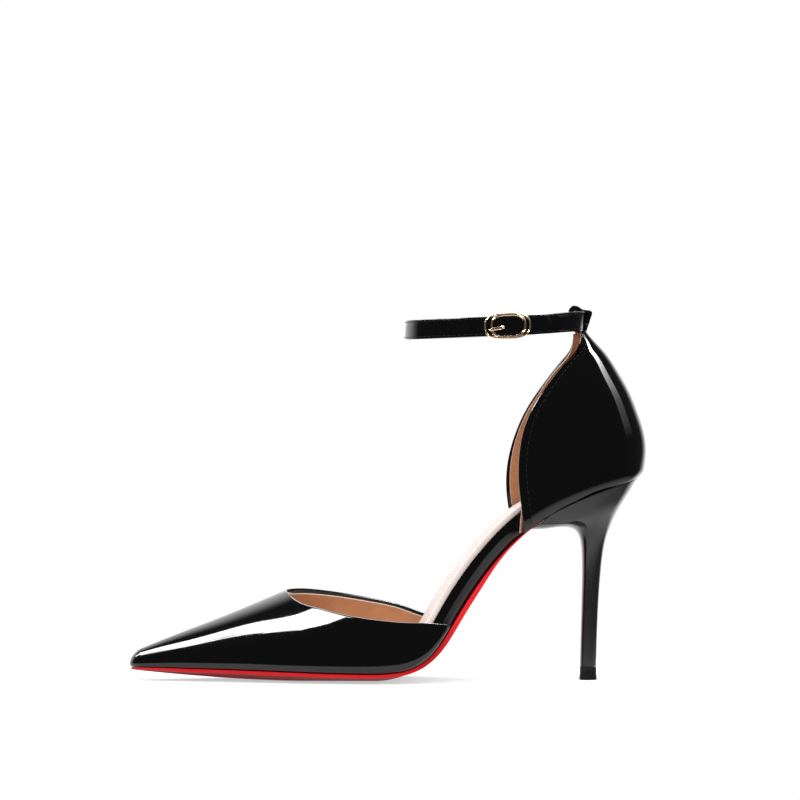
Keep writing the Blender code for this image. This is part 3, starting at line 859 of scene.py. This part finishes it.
def counter_point(share, around, ahead=0.0):
    """A point by its share of the height and its way round, from -1 (outer front edge) to 1 (inner one)."""
    row = counter_row(share)
    t = abs(around)
    front = row["front_x"] - (row["lead"] if around > 0.0 else 0.0) + ahead
    depth = row["back_x"] - front
    behind = depth * t * t
    fade = 2.0 * row["round"] / row["wide"] ** 2
    full = 1.0 - math.exp(-fade * depth)
    sweep = between(row["wide"], row["front_wide"], t * t)
    x = row["back_x"] - behind
    y = sweep * math.sqrt((1.0 - math.exp(-fade * behind)) / full)
    along = behind / max(depth, 1e-6)
    chord = between(row["back_z"], row["front_z"], along)
    foot = counter_row(0.0)
    seat_chord = between(foot["back_z"], foot["front_z"], along)
    sag = (BOTTOM["seat"](min(x, SEAT_BACK_X)) - seat_chord) * (1.0 - share) ** 3
    centre = BOTTOM["centre"](min(x, SEAT_BACK_X - SEAT_ROUND)) * (1.0 - share) ** 2
    return Vector((x, centre + math.copysign(y, around), chord + sag))


def counter_normal(share, around):
    """The way out of the counter's face."""
    low = max(share - 0.004, 0.0)
    high = min(share + 0.004, 1.0)
    up = counter_point(high, around) - counter_point(low, around)
    side = 0.004 if abs(around) < 0.99 else math.copysign(0.004, -around)
    forward = (counter_point(share, around + side) - counter_point(share, around)) * math.copysign(1.0, side)
    out = forward.cross(up).normalized()
    return out if out.dot(counter_point(share, around) - COUNTER_MIDDLE) > 0.0 else -out


# %% Counter
HEM_WIDTH = 3.0
HEM_RISE = 0.2
HEM_ROUND = 0.4
HEM_FADE = (0.55, 0.75)
COUNTER_ROWS = 64
HEM_FROM = 0.93
around_steps = list(np.linspace(0.0, HEM_FROM, 34)) + list(np.linspace(HEM_FROM, 1.0, 16)[1:])
AROUND = [-t for t in reversed(around_steps[1:])] + around_steps


def counter_share(j):
    share = j / COUNTER_ROWS
    return share * (0.7 + 0.3 * share)


def hemmed(i, j):
    """The face of the counter, with the turned edge standing proud."""
    share = counter_share(j)
    around = AROUND[i]
    point = counter_point(share, around)
    row = counter_row(share)
    to_edge = (row["back_x"] - row["front_x"]) * (1.0 - around * around)
    on_hem = 1.0 - ease(HEM_WIDTH - 0.3, HEM_WIDTH + 0.4, to_edge)
    rise = HEM_RISE * on_hem * (1.0 - ease(*HEM_FADE, share))
    return point + counter_normal(share, around) * rise


counter = laid_grid("counter_skin", len(AROUND) - 1, COUNTER_ROWS, hemmed, lambda i, j: 1.0)
face_out(counter)
wall(counter, COUNTER_WALL, HEM_ROUND)
place(counter, "black_patent", PATENT, "counter")

# %% [markdown]
# ## Counter lining
# The same tan leather lines the counter, and a sliver of it shows before the front edge.
# It is laid on the counter's own sections and moved in by the wall, so it lies close behind it.

# %% Counter lining
def lining_ahead(share, around):
    """How far the lining's edge stands behind the front edge; low on the outer side it stands before it."""
    if around > 0.0:
        return 1.5 - 0.6 * ease(0.25, 0.6, share) - 0.9 * ease(0.72, 0.86, share)
    return 0.5 - 1.4 * (1.0 - ease(0.06, 0.16, share))


def on_lining(i, j):
    """A point behind the counter's wall."""
    share = counter_share(j)
    point = counter_point(share, AROUND[i], lining_ahead(share, AROUND[i]))
    return point - counter_normal(share, AROUND[i]) * (COUNTER_WALL + LINING_GAP)


AT_FRONT = (0, len(AROUND) - 1)
counter_lining = laid_grid(
    "counter_lining", len(AROUND) - 1, COUNTER_ROWS, on_lining, lambda i, j: float(i in AT_FRONT)
)
face_out(counter_lining)
wall(counter_lining, LINING_THICK, LINING_ROUND, even=False)
# Its front edges take the pale cut colour: a painted highlight along them.
place(counter_lining, "nude_leather", TAN_LINING)

# %% [markdown]
# ## Heel and top piece
# The heel is a slim stem that opens into a cup under the seat; its lip reaches forward below the sole's flap.
# A turned stem would be round, so its rings come from a table: level at the tip, squarer towards the front,
# and bent to the line of the seat at the top, where the rim stays a hair below the counter.
# The top piece is a small rubber pad with a narrow seam above it, drawn from the heel's lowest ring.

# %% Sections of the heel
HEEL = table(
    "row  front_x front_z back_x back_z half  widest square",
    (0,   86.8,   6.2,    94.2,  6.2,   4.0,  0.45,  0.75),
    (1,   87.0,   18.0,   94.5,  18.0,  4.1,  0.45,  0.75),
    (2,   87.4,   34.0,   95.2,  34.0,  4.6,  0.45,  0.75),
    (3,   87.6,   47.6,   96.2,  47.6,  5.6,  0.45,  0.75),
    (4,   87.3,   58.0,   97.6,  58.8,  7.4,  0.46,  0.75),
    (5,   86.0,   64.6,   99.8,  66.8,  10.4, 0.47,  0.72),
    (6,   82.8,   67.3,   102.7, 73.2,  14.6, 0.48,  0.66),
    (7,   77.0,   67.7,   106.0, 78.8,  18.8, 0.50,  0.56),
    (8,   69.8,   66.7,   109.5, 84.2,  21.0, 0.51,  0.46),
    (9,   63.2,   66.2,   112.8, 89.4,  23.0, 0.52,  0.38),
)
HEEL_TOP = 9.0
HEEL_AROUND = 72
HEEL_ROWS = 96
HEEL_LIP = 0.25
LID_ROOM = 0.15
HEEL_BEND = 4.0


# %% Heel
def heel_lid(x):
    """Height of the heel's top under the seat, with room for the end of the sole."""
    on_flap = 1.0 - ease(SOLE_FLAP_END_X - 0.3, SOLE_FLAP_END_X + 0.9, x)
    flap = (along_shoe(x, *SOLE_EDGE) + GAP + LID_ROOM) * on_flap
    return BOTTOM["seat"](x) + (LID_ROOM - flap) / math.cos(tilt(x))


def heel_ring(row, seat=False):
    """A ring of the heel; towards the top it bends to the line of the seat."""
    at = {name: curve(row) for name, curve in HEEL.items()}
    top = {name: curve(HEEL_TOP) for name, curve in HEEL.items()}
    ring = []
    for k in range(HEEL_AROUND):
        angle = 2.0 * math.pi * (k + 0.5) / HEEL_AROUND
        c = math.cos(angle)
        s = math.sin(angle)
        power = 1.0 if c > 0.0 else at["square"]
        along = math.copysign(abs(c) ** power, c)
        y = -at["half"] * math.copysign(abs(s) ** power, s)
        p = at["widest"] + along * ((1.0 - at["widest"]) if c > 0.0 else at["widest"])
        ends = [(one["front_" + axis], one["back_" + axis]) for one in (at, top) for axis in "xz"]
        x, z, x_top, z_top = [between(*pair, p) for pair in ends]
        z += (heel_lid(x_top) - HEEL_LIP - z_top) * (row / HEEL_TOP) ** HEEL_BEND
        lid = heel_lid(x)
        ring.append((x, y, lid if seat else min(z, lid - HEEL_LIP)))
    return ring


heel_rings = [heel_ring(HEEL_TOP * k / HEEL_ROWS) for k in range(HEEL_ROWS + 1)]
heel = tube("heel_skin", heel_rings + [heel_ring(HEEL_TOP, seat=True)])
place(heel, "black_lacquer", LACQUER, "heel")

# %% Top piece
HEEL_TIP_X = 90.2
TIP_ROWS = ((5.9, -0.25), (5.65, 0.0), (3.0, 0.0), (0.9, 0.2), (0.45, 0.25), (0.0, 0.0))
tip_rings = []
for height, flare in TIP_ROWS:
    ring = []
    for x, y, _ in heel_ring(0.0):
        away = math.hypot(x - HEEL_TIP_X, y)
        ring.append((x + flare * (x - HEEL_TIP_X) / away, y + flare * y / away, height))
    tip_rings.append(ring)
tip = tube("heel_tip_skin", tip_rings)
place(tip, "black_rubber", RUBBER, "heel_tip")

# %% [markdown]
# ## Ankle strap
# One strap runs from under the buckle round the back of the ankle, through the loop, and back to the front.
# Seen from above it is an oval that leans at the back, where the loop holds it.
# Its section is crowned between two sewn grooves, and its edges are rounded.
# A bent plate would stretch on one side, so the section is swept along the oval and keeps its width.

# %% Sizes of the strap
STRAP_WIDTH = 8.8
STRAP_THICK = 1.9
STRAP_LAP = 2.3
RING_X = 48.6
RING_Z = 158.3
RING_HALF_LONG = 39.6
RING_HALF_WIDE = 27.5
RING_POWER = 0.92
RING_RISE_BACK = 0.040
RING_RISE_IN = 0.040
RING_LIFT = 0.9
STRAP_START = math.radians(-78.0)
LAP_FROM = math.radians(205.0)
LAP_TO = math.radians(272.0)
TAIL_END = math.radians(302.0)
STRAP_LEAN = math.radians(20.5)
STRAP_TIP = math.radians(3.5)
UP = Vector((0.0, 0.0, 1.0))


# %% Strap path
def strap_frame(angle):
    """Middle, way out and way up of the strap; the angle starts at the back and goes inward first."""
    c = math.cos(angle)
    s = math.sin(angle)
    lap = STRAP_LAP * ease(LAP_FROM, LAP_TO, angle)
    x = RING_X + RING_HALF_LONG * math.copysign(abs(c) ** RING_POWER, c)
    y = RING_HALF_WIDE * math.copysign(abs(s) ** RING_POWER, s)
    out = Vector((c / RING_HALF_LONG, s / RING_HALF_WIDE, 0.0)).normalized()
    lift = RING_LIFT * ease(RING_X + 8.0, RING_X + RING_HALF_LONG, x)
    z = RING_Z + RING_RISE_BACK * (x - RING_X) + RING_RISE_IN * y + lift
    lean = (STRAP_LEAN + STRAP_TIP) * max(c, 0.0) ** 24 * (1.0 - ease(LAP_FROM, LAP_TO, angle)) - STRAP_TIP
    up = UP * math.cos(lean) + out * math.sin(lean)
    face = out * math.cos(lean) - UP * math.sin(lean)
    return Vector((x, y, z)) + out * lap, face, up


def on_strap(x, across, out):
    """A point on the lapped outer side, by its place along X and its height off the strap's face."""
    share = (abs(x - RING_X) / RING_HALF_LONG) ** (1.0 / RING_POWER)
    angle = 1.5 * math.pi + math.asin(math.copysign(share, x - RING_X))
    middle, face, up = strap_frame(angle)
    return middle + up * across + face * (STRAP_THICK / 2.0 + out)


STRAP_ANGLES = np.linspace(STRAP_START, TAIL_END, 300)
strap_middles = [strap_frame(a)[0] for a in STRAP_ANGLES]
strap_run = np.cumsum([0.0] + [(b - a).length for a, b in zip(strap_middles, strap_middles[1:])])
print("strap length:", round(strap_run[-1], 1), "mm")

# %% Strap
SEW_AT = 3.35
SEW_DEPTH = 0.07
CROWN = 0.06
TAIL_ROUND = 4.2
EDGE_ROUND = 0.45
UNDER_ROUND = 0.25
SEW_DIPS = ((-0.4, 0.1), (-0.2, 0.6), (0.0, 1.0), (0.2, 0.6), (0.4, 0.1))


def strap_half_section():
    """From the middle of the face out to the edge and back to the middle of the back: (across, out)."""
    t = STRAP_THICK / 2.0
    w = STRAP_WIDTH / 2.0
    face = [(a, t + CROWN * (1.0 - (a / 2.9) ** 2)) for a in (0.0, 0.9, 1.8, 2.4, 2.75)]
    groove = [(SEW_AT + d, t - SEW_DEPTH * depth) for d, depth in SEW_DIPS]
    turns = [(math.sin(a), math.cos(a)) for a in np.linspace(0.0, math.pi / 2.0, 5)]
    corner = [(w - EDGE_ROUND + EDGE_ROUND * s, t - EDGE_ROUND + EDGE_ROUND * c) for s, c in turns]
    under = [(w - UNDER_ROUND + UNDER_ROUND * c, -t + UNDER_ROUND - UNDER_ROUND * s) for s, c in turns]
    return face + groove + corner + under + [(2.0, -t), (0.0, -t)]


def sweep_strap(name, half):
    """Sweeps a section along the strap, with a rounded tail."""
    rings = []
    for angle, run in zip(STRAP_ANGLES, strap_run):
        middle, face, up = strap_frame(angle)
        narrow = max(nose(strap_run[-1] - run, TAIL_ROUND), 0.08)
        rings.append([middle + up * a * narrow + face * b for a, b in both_sides(half)])
    return tube(name, rings)


BACK = -STRAP_THICK / 2.0 - 0.02
BACK_SECTION = ((0.0, 0.0), (3.2, 0.0), (3.5, 0.1), (3.5, 0.25), (3.2, 0.34), (0.0, 0.34))
strap = sweep_strap("strap_skin", strap_half_section())
strap_back = sweep_strap("strap_lining", [(a, BACK - depth) for a, depth in BACK_SECTION])

# %% [markdown]
# ## Punched holes
# The tail has a hole for the prong and two smaller spare ones in front of it.
# A dark dot would do for the photo, but a real hole also holds from the side.
# So each is cut by a cylinder with a Boolean modifier, square to the curved strap.

# %% Punched holes
HOLE_DROP = -0.6
HOLES = ((51.0, 1.2), (43.9, 0.55), (36.8, 0.55))
for hole_x, radius in HOLES:
    foot = on_strap(hole_x, HOLE_DROP, -1.2)
    way = on_strap(hole_x, HOLE_DROP, 1.4) - foot
    bpy.ops.mesh.primitive_cylinder_add(
        vertices=20,
        radius=radius * MM,
        depth=way.length * MM,
        location=(foot + way / 2.0) * MM,
        rotation=way.to_track_quat("Z", "Y").to_euler(),
    )
    punch = bpy.context.object
    modify(strap, "BOOLEAN", operation="DIFFERENCE", solver="EXACT", object=punch)
    bpy.data.objects.remove(punch, do_unlink=True)
place(strap, "black_patent", PATENT, "ankle_strap")
place(strap_back, "nude_leather", TAN_LINING)

# %% [markdown]
# ## Seams
# The strap is sewn along both edges and the counter along its turned front edge.
# One stitch is modelled: a round bead drawn out to a short thread whose ends dive into the leather.
# It is copied along each seam, a step at a time, and the copies of a seam are joined.

# %% One stitch
STITCH_PITCH = 2.5
STITCH_LENGTH = 2.0
STITCH_THICK = 0.34
STITCH_DIVE = 0.22
SEAM_BEHIND_HEM = 0.6


def one_stitch():
    bpy.ops.object.select_all(action="DESELECT")
    bpy.ops.mesh.primitive_uv_sphere_add(segments=8, ring_count=6, radius=0.5)
    stitch = bpy.context.object
    size = (STITCH_LENGTH * MM, STITCH_THICK * MM, STITCH_THICK * 0.8 * MM)
    edit_all(stitch, (bpy.ops.transform.resize, {"value": size}))
    for corner in stitch.data.vertices:
        reach = abs(corner.co.x) / (STITCH_LENGTH * MM / 2.0)
        corner.co.z -= STITCH_DIVE * MM * reach ** 3
    return stitch


def sew(name, places, finish):
    """Copies the stitch to each place, given as (point, way along, way out), and joins the copies."""
    stitch = one_stitch()
    copies = []
    for point, along, out in places:
        copied = stitch.copy()
        copied.data = stitch.data.copy()
        along = along.normalized()
        across = out.cross(along).normalized()
        out = along.cross(across)
        turned = Matrix((along, across, out)).transposed().to_4x4()
        copied.data.transform(Matrix.Translation(point * MM) @ turned)
        bpy.context.collection.objects.link(copied)
        copies.append(copied)
    bpy.data.objects.remove(stitch, do_unlink=True)
    place(join(name, copies), "black_patent", finish)


# %% Strap seams
def strap_stitches(across):
    places = []
    for run in np.arange(3.0, strap_run[-1] - TAIL_ROUND - 0.5, STITCH_PITCH):
        angle = float(np.interp(run, strap_run, STRAP_ANGLES))
        middle, face, up = strap_frame(angle)
        ahead = strap_frame(angle + 0.01)[0] - middle
        out = STRAP_THICK / 2.0 - SEW_DEPTH + 0.1
        places.append((middle + up * across + face * out, ahead, face))
    return places


sew("strap_seam_upper", strap_stitches(SEW_AT), BLACK_THREAD)
sew("strap_seam_lower", strap_stitches(-SEW_AT), BLACK_THREAD)

# %% Counter seams
def counter_stitches(side, inner):
    """Stitches behind the turned edge, evenly spaced; on the inner face they show through the lining."""
    line = []
    for share in np.linspace(0.02, 0.955, 400).tolist():
        row = counter_row(share)
        depth = row["back_x"] - row["front_x"] + (row["lead"] if side > 0 else 0.0)
        t = side * math.sqrt(max(1.0 - (HEM_WIDTH + SEAM_BEHIND_HEM) / depth, 0.05))
        out = counter_normal(share, t)
        lift = -(COUNTER_WALL + LINING_GAP + LINING_THICK) if inner else 0.04
        line.append((counter_point(share, t) + out * lift, -out if inner else out))
    run = np.cumsum([0.0] + [(b[0] - a[0]).length for a, b in zip(line, line[1:])])
    places = []
    for at in np.arange(1.0, run[-1], STITCH_PITCH):
        k = min(int(np.searchsorted(run, at)), len(line) - 2)
        places.append((line[k][0], line[k + 1][0] - line[k][0], line[k][1]))
    return places


sew("counter_seam_outer_side", counter_stitches(-1, False), BLACK_THREAD)
sew("counter_seam_inner_side", counter_stitches(1, False), BLACK_THREAD)
sew("counter_seam_lining", counter_stitches(1, True) + counter_stitches(-1, True), BROWN_THREAD)

# %% [markdown]
# ## Buckle
# The frame is two ovals of gold wire, close together above and below the strap and apart at its two ends.
# The prong comes up through the hole and lies on the front end of the frame.
# A bent torus would stand off at its ends, so all three are tubes over rings that follow the strap's curve.

# %% Buckle frame
BUCKLE_X = 52.0
BUCKLE_DROP = -0.15
FRAME_POWER = 0.72
FRAME_THICK = 0.6
FRAME_AROUND = 24
FRAME_STEPS = 144
OVALS = ((0.0, 9.3, 5.45, 0.42), (0.35, 6.95, 4.85, 0.5))


def frame_ring(turn, shift, half_long, half_high, wire):
    """A ring of the wire on one of the two ovals."""
    c = math.cos(turn)
    s = math.sin(turn)
    along = shift + half_long * math.copysign(abs(c) ** FRAME_POWER, c)
    across = half_high * math.copysign(abs(s) ** FRAME_POWER, s)
    way = Vector((c / half_long, s / half_high)).normalized()
    ring = []
    for k in range(FRAME_AROUND):
        a = 2.0 * math.pi * (k + 0.5) / FRAME_AROUND
        reach = wire * math.cos(a)
        height = GAP + FRAME_THICK * (1.0 + math.sin(a))
        ring.append(on_strap(BUCKLE_X + along + way.x * reach, BUCKLE_DROP + across + way.y * reach, height))
    return ring


frame_turns = np.linspace(0.0, 2.0 * math.pi, FRAME_STEPS + 1)[:-1] + 0.011
ovals = [tube("buckle_oval", [frame_ring(t, *oval) for t in frame_turns], closed=True) for oval in OVALS]
buckle = join("buckle_frame_skin", ovals)
place(buckle, "pale_gold", GOLD, "buckle_frame")

# %% Prong
PRONG = table(
    "step x     out   wide",
    (0,   51.6, -1.5, 0.7),
    (1,   51.2, -0.2, 0.75),
    (2,   50.2, 1.00, 0.75),
    (3,   48.6, 1.65, 0.75),
    (4,   47.0, 1.95, 0.7),
    (5,   45.4, 2.10, 0.6),
    (6,   44.2, 2.12, 0.35),
)
PRONG_THICK = 0.55
PRONG_SLOPE = 0.17
PRONG_AROUND = 16
prong_rings = []
for step in np.linspace(0.0, 6.0, 48):
    x, out, wide = [PRONG[name](float(step)) for name in ("x", "out", "wide")]
    end = max(nose(6.02 - step, 0.5), 0.1)
    ring = []
    for k in range(PRONG_AROUND):
        a = 2.0 * math.pi * k / PRONG_AROUND
        across = HOLE_DROP + PRONG_SLOPE * (x - PRONG["x"](0)) + wide * end * math.cos(a)
        ring.append(on_strap(x, across, out + PRONG_THICK * end * math.sin(a)))
    prong_rings.append(ring)
prong = tube("buckle_prong_skin", prong_rings)
place(prong, "pale_gold", GOLD, "buckle_prong")

# %% [markdown]
# ## Loop on the counter
# A narrow tab of patent leather rises from the neck of the counter behind the strap, is folded sharply over
# its upper edge and comes down again on the inside, where it stands off in a small hump.
# A plate would need many small folds, so its section is swept along a table of places instead:
# it widens above the foot, bows with the strap on the outside and is filled under the hump.

# %% Path of the loop
LOOP_WIDTH = 12.6
LOOP_THICK = 1.2
LOOP_BOW = 34.0
LOOP_FOOT = 2.3
LOOP_FILL = 1.1
LOOP = table(
    "step x     z",
    (0,   88.6, 155.0),
    (1,   89.8, 159.3),
    (2,   91.1, 163.4),
    (2.5, 91.2, 164.6),
    (3,   90.2, 165.0),
    (4,   87.3, 165.5),
    (5,   84.7, 167.0),
    (6,   82.3, 166.3),
    (7,   81.9, 163.0),
    (8,   83.2, 158.8),
    (9,   84.9, 155.4),
)


# %% Loop
def loop_ring(step):
    here = Vector((LOOP["x"](step), 0.0, LOOP["z"](step)))
    ahead = Vector((LOOP["x"](step + 0.02), 0.0, LOOP["z"](step + 0.02))) - here
    ahead.normalize()
    out = Vector((ahead.z, 0.0, -ahead.x))
    w = LOOP_WIDTH / 2.0 - LOOP_FOOT * (1.0 - ease(0.2, 1.2, step))
    t = LOOP_THICK / 2.0
    fill = LOOP_FILL * ease(2.9, 4.0, step) * (1.0 - ease(6.4, 7.4, step))
    bow = (1.0 - ease(2.3, 3.2, step)) / LOOP_BOW
    half = [(0.0, t), (w - 0.6, t), (w - 0.2, t - 0.1), (w, t - 0.35), (w, 0.2 - t - fill - bow * w * w)]
    half += [(a, -0.15 - t - fill - bow * a * a) for a in (0.95 * w, 0.85 * w, 0.6 * w, 0.3 * w, 0.0)]
    return [here + Vector((0.0, a, 0.0)) + out * b for a, b in both_sides(half)]


loop = tube("strap_loop_skin", [loop_ring(float(s)) for s in np.linspace(0.0, 8.98, 90)])
place(loop, "black_patent", PATENT, "strap_loop")

# %% [markdown]
# ## Floor, light and surroundings
# The photo is a studio shot on white with hardly a shadow.
# The floor is a small pale sheet that fades out and glows a little, so only the contact turns grey.
# The shoe takes no soft light from it and little from below, because the tread is dark in the photo.
# Black patent leather shows only what it mirrors, so the surroundings matter more than the amount of light:
# the camera's side is dark, the floor and the far side are white, and the soft boxes draw the bands of gloss.

# %% Floor
SHEET = (0.24, 0.20)
bpy.ops.object.select_all(action="DESELECT")
bpy.ops.mesh.primitive_grid_add(x_subdivisions=8, y_subdivisions=8, size=24.0)
floor = bpy.context.object
floor.name = floor.data.name = "studio_floor"
white_floor = Finish("white_floor")
scale = (1.0 / SHEET[0], 1.0 / SHEET[1], 1.0)
spread = white_floor.node("Mapping", None, {"Vector": white_floor.where, "Scale": scale})
reach = white_floor.node("VectorMath", {"operation": "LENGTH"}, {0: spread}, "Value")
floor.data.materials.append(
    white_floor.set(
        Base_Color=(0.64, 0.64, 0.64),
        Roughness=0.9,
        Specular_IOR_Level=0.0,
        Emission_Color=(1.0, 1.0, 1.0, 1.0),
        Emission_Strength=0.5,
        Alpha=white_floor.ramp(reach, 0.5, 1.3, 1.0, 0.0, smooth=True),
    )
)
floor.visible_diffuse = False
print("floor sheet fades from", [round(0.5 * half, 2) for half in SHEET], "m")

# %% World
AMBIENT = 0.75
OVERHEAD = 1.3
FRONTAL = 0.55
DARK_ROOM = 0.09
BACKDROP = 1.95

world = bpy.data.worlds.new("studio")
bpy.context.scene.world = world
studio = Nodes(world)
way = studio.node("TexCoord", output="Generated")
right, behind, up = [studio.node("SeparateXYZ", None, {"Vector": way}, axis) for axis in "XYZ"]
backdrop = studio.ramp(behind - 0.2 * right, 0.36, 0.75, 0.0, BACKDROP, smooth=True)
overhead = studio.ramp(up, 0.0, 1.0, 0.0, OVERHEAD)
above = studio.ramp(up, -0.6, 0.0)
seen = studio.node("LightPath", output="Is Camera Ray")
mirrored = studio.node("LightPath", output="Is Glossy Ray")
soft = (AMBIENT + overhead - FRONTAL * behind) * above
level = seen + mirrored * (DARK_ROOM + backdrop) + soft * (1.0 - seen - mirrored)
surroundings = world.node_tree.nodes["Background"].inputs
studio.plug(surroundings["Color"], (1.0, 1.0, 1.0))
studio.plug(surroundings["Strength"], level)
world.cycles.sampling_method = "NONE"
print("mirrored room:", DARK_ROOM, "in front,", DARK_ROOM + BACKDROP, "behind")

# %% [markdown]
# ## Soft boxes
# Overlapping panels high up beyond the toe are mirrored as the white band on the vamp, pointed at the tip.
# A tall box by the heel, fading downwards, draws the streak on the counter.
# One above and behind gives the upper edges their gleam.
# They could light the whole shoe, but would bleach the insole and the linings, so only gloss sees them.

# %% Soft boxes
def soft_box(name, location, rotation, size, radiance, power=0.0, shape="RECTANGLE"):
    """A soft box that only the gloss sees; it may fade towards its lower end."""
    bpy.ops.object.light_add(type="AREA", location=location, rotation=[math.radians(a) for a in rotation])
    box = bpy.context.object
    box.name = box.data.name = name
    box.data.shape = shape
    box.data.size, box.data.size_y = size
    box.data.energy = math.pi * radiance * size[0] * size[1]
    box.visible_camera = False
    box.visible_diffuse = False
    if power:
        made = Nodes(box.data)
        share = made.node("SeparateXYZ", None, {"Vector": made.node("NewGeometry", output="Parametric")}, "Y")
        made.plug(made.tree.nodes["Emission"].inputs["Strength"], share ** power)


PANEL_HEIGHT = 1.22
PANEL_STEP = 0.01
PANEL_LIGHT = 30.0
PANELS = (
    (-1.035, -0.915, 0.0,   0.31, 0.39),
    (-1.056, -0.612, -12.7, 0.20, 0.33),
    (-0.970, -0.550, 0.0,   0.16, 0.50),
    (-0.990, -0.080, 0.0,   0.20, 0.76),
    (-1.650, 0.380,  53.6,  0.22, 1.60),
    (-0.865, -0.770, 0.0,   0.35, 0.96),
)
for k, (x, y, turn, wide, long) in enumerate(PANELS):
    here = (x, y, PANEL_HEIGHT + PANEL_STEP * k)
    soft_box(f"panel_over_toe_{k + 1}", here, (0.0, 0.0, turn), (wide, long), PANEL_LIGHT)
soft_box("disk_over_toe", (-1.04, -1.1, 1.28), (0.0, 0.0, 0.0), (0.30, 0.30), PANEL_LIGHT, shape="DISK")
soft_box("box_by_heel", (1.3, -0.30, 2.5), (90.0, 0.0, 90.0), (0.52, 4.3), 210.0, 2.0)
soft_box("box_above", (0.0, 0.65, 1.4), (0.0, 0.0, 0.0), (1.0, 0.9), 12.0)
bpy.context.scene.view_settings.view_transform = "Standard"
bpy.context.scene.view_settings.look = "None"
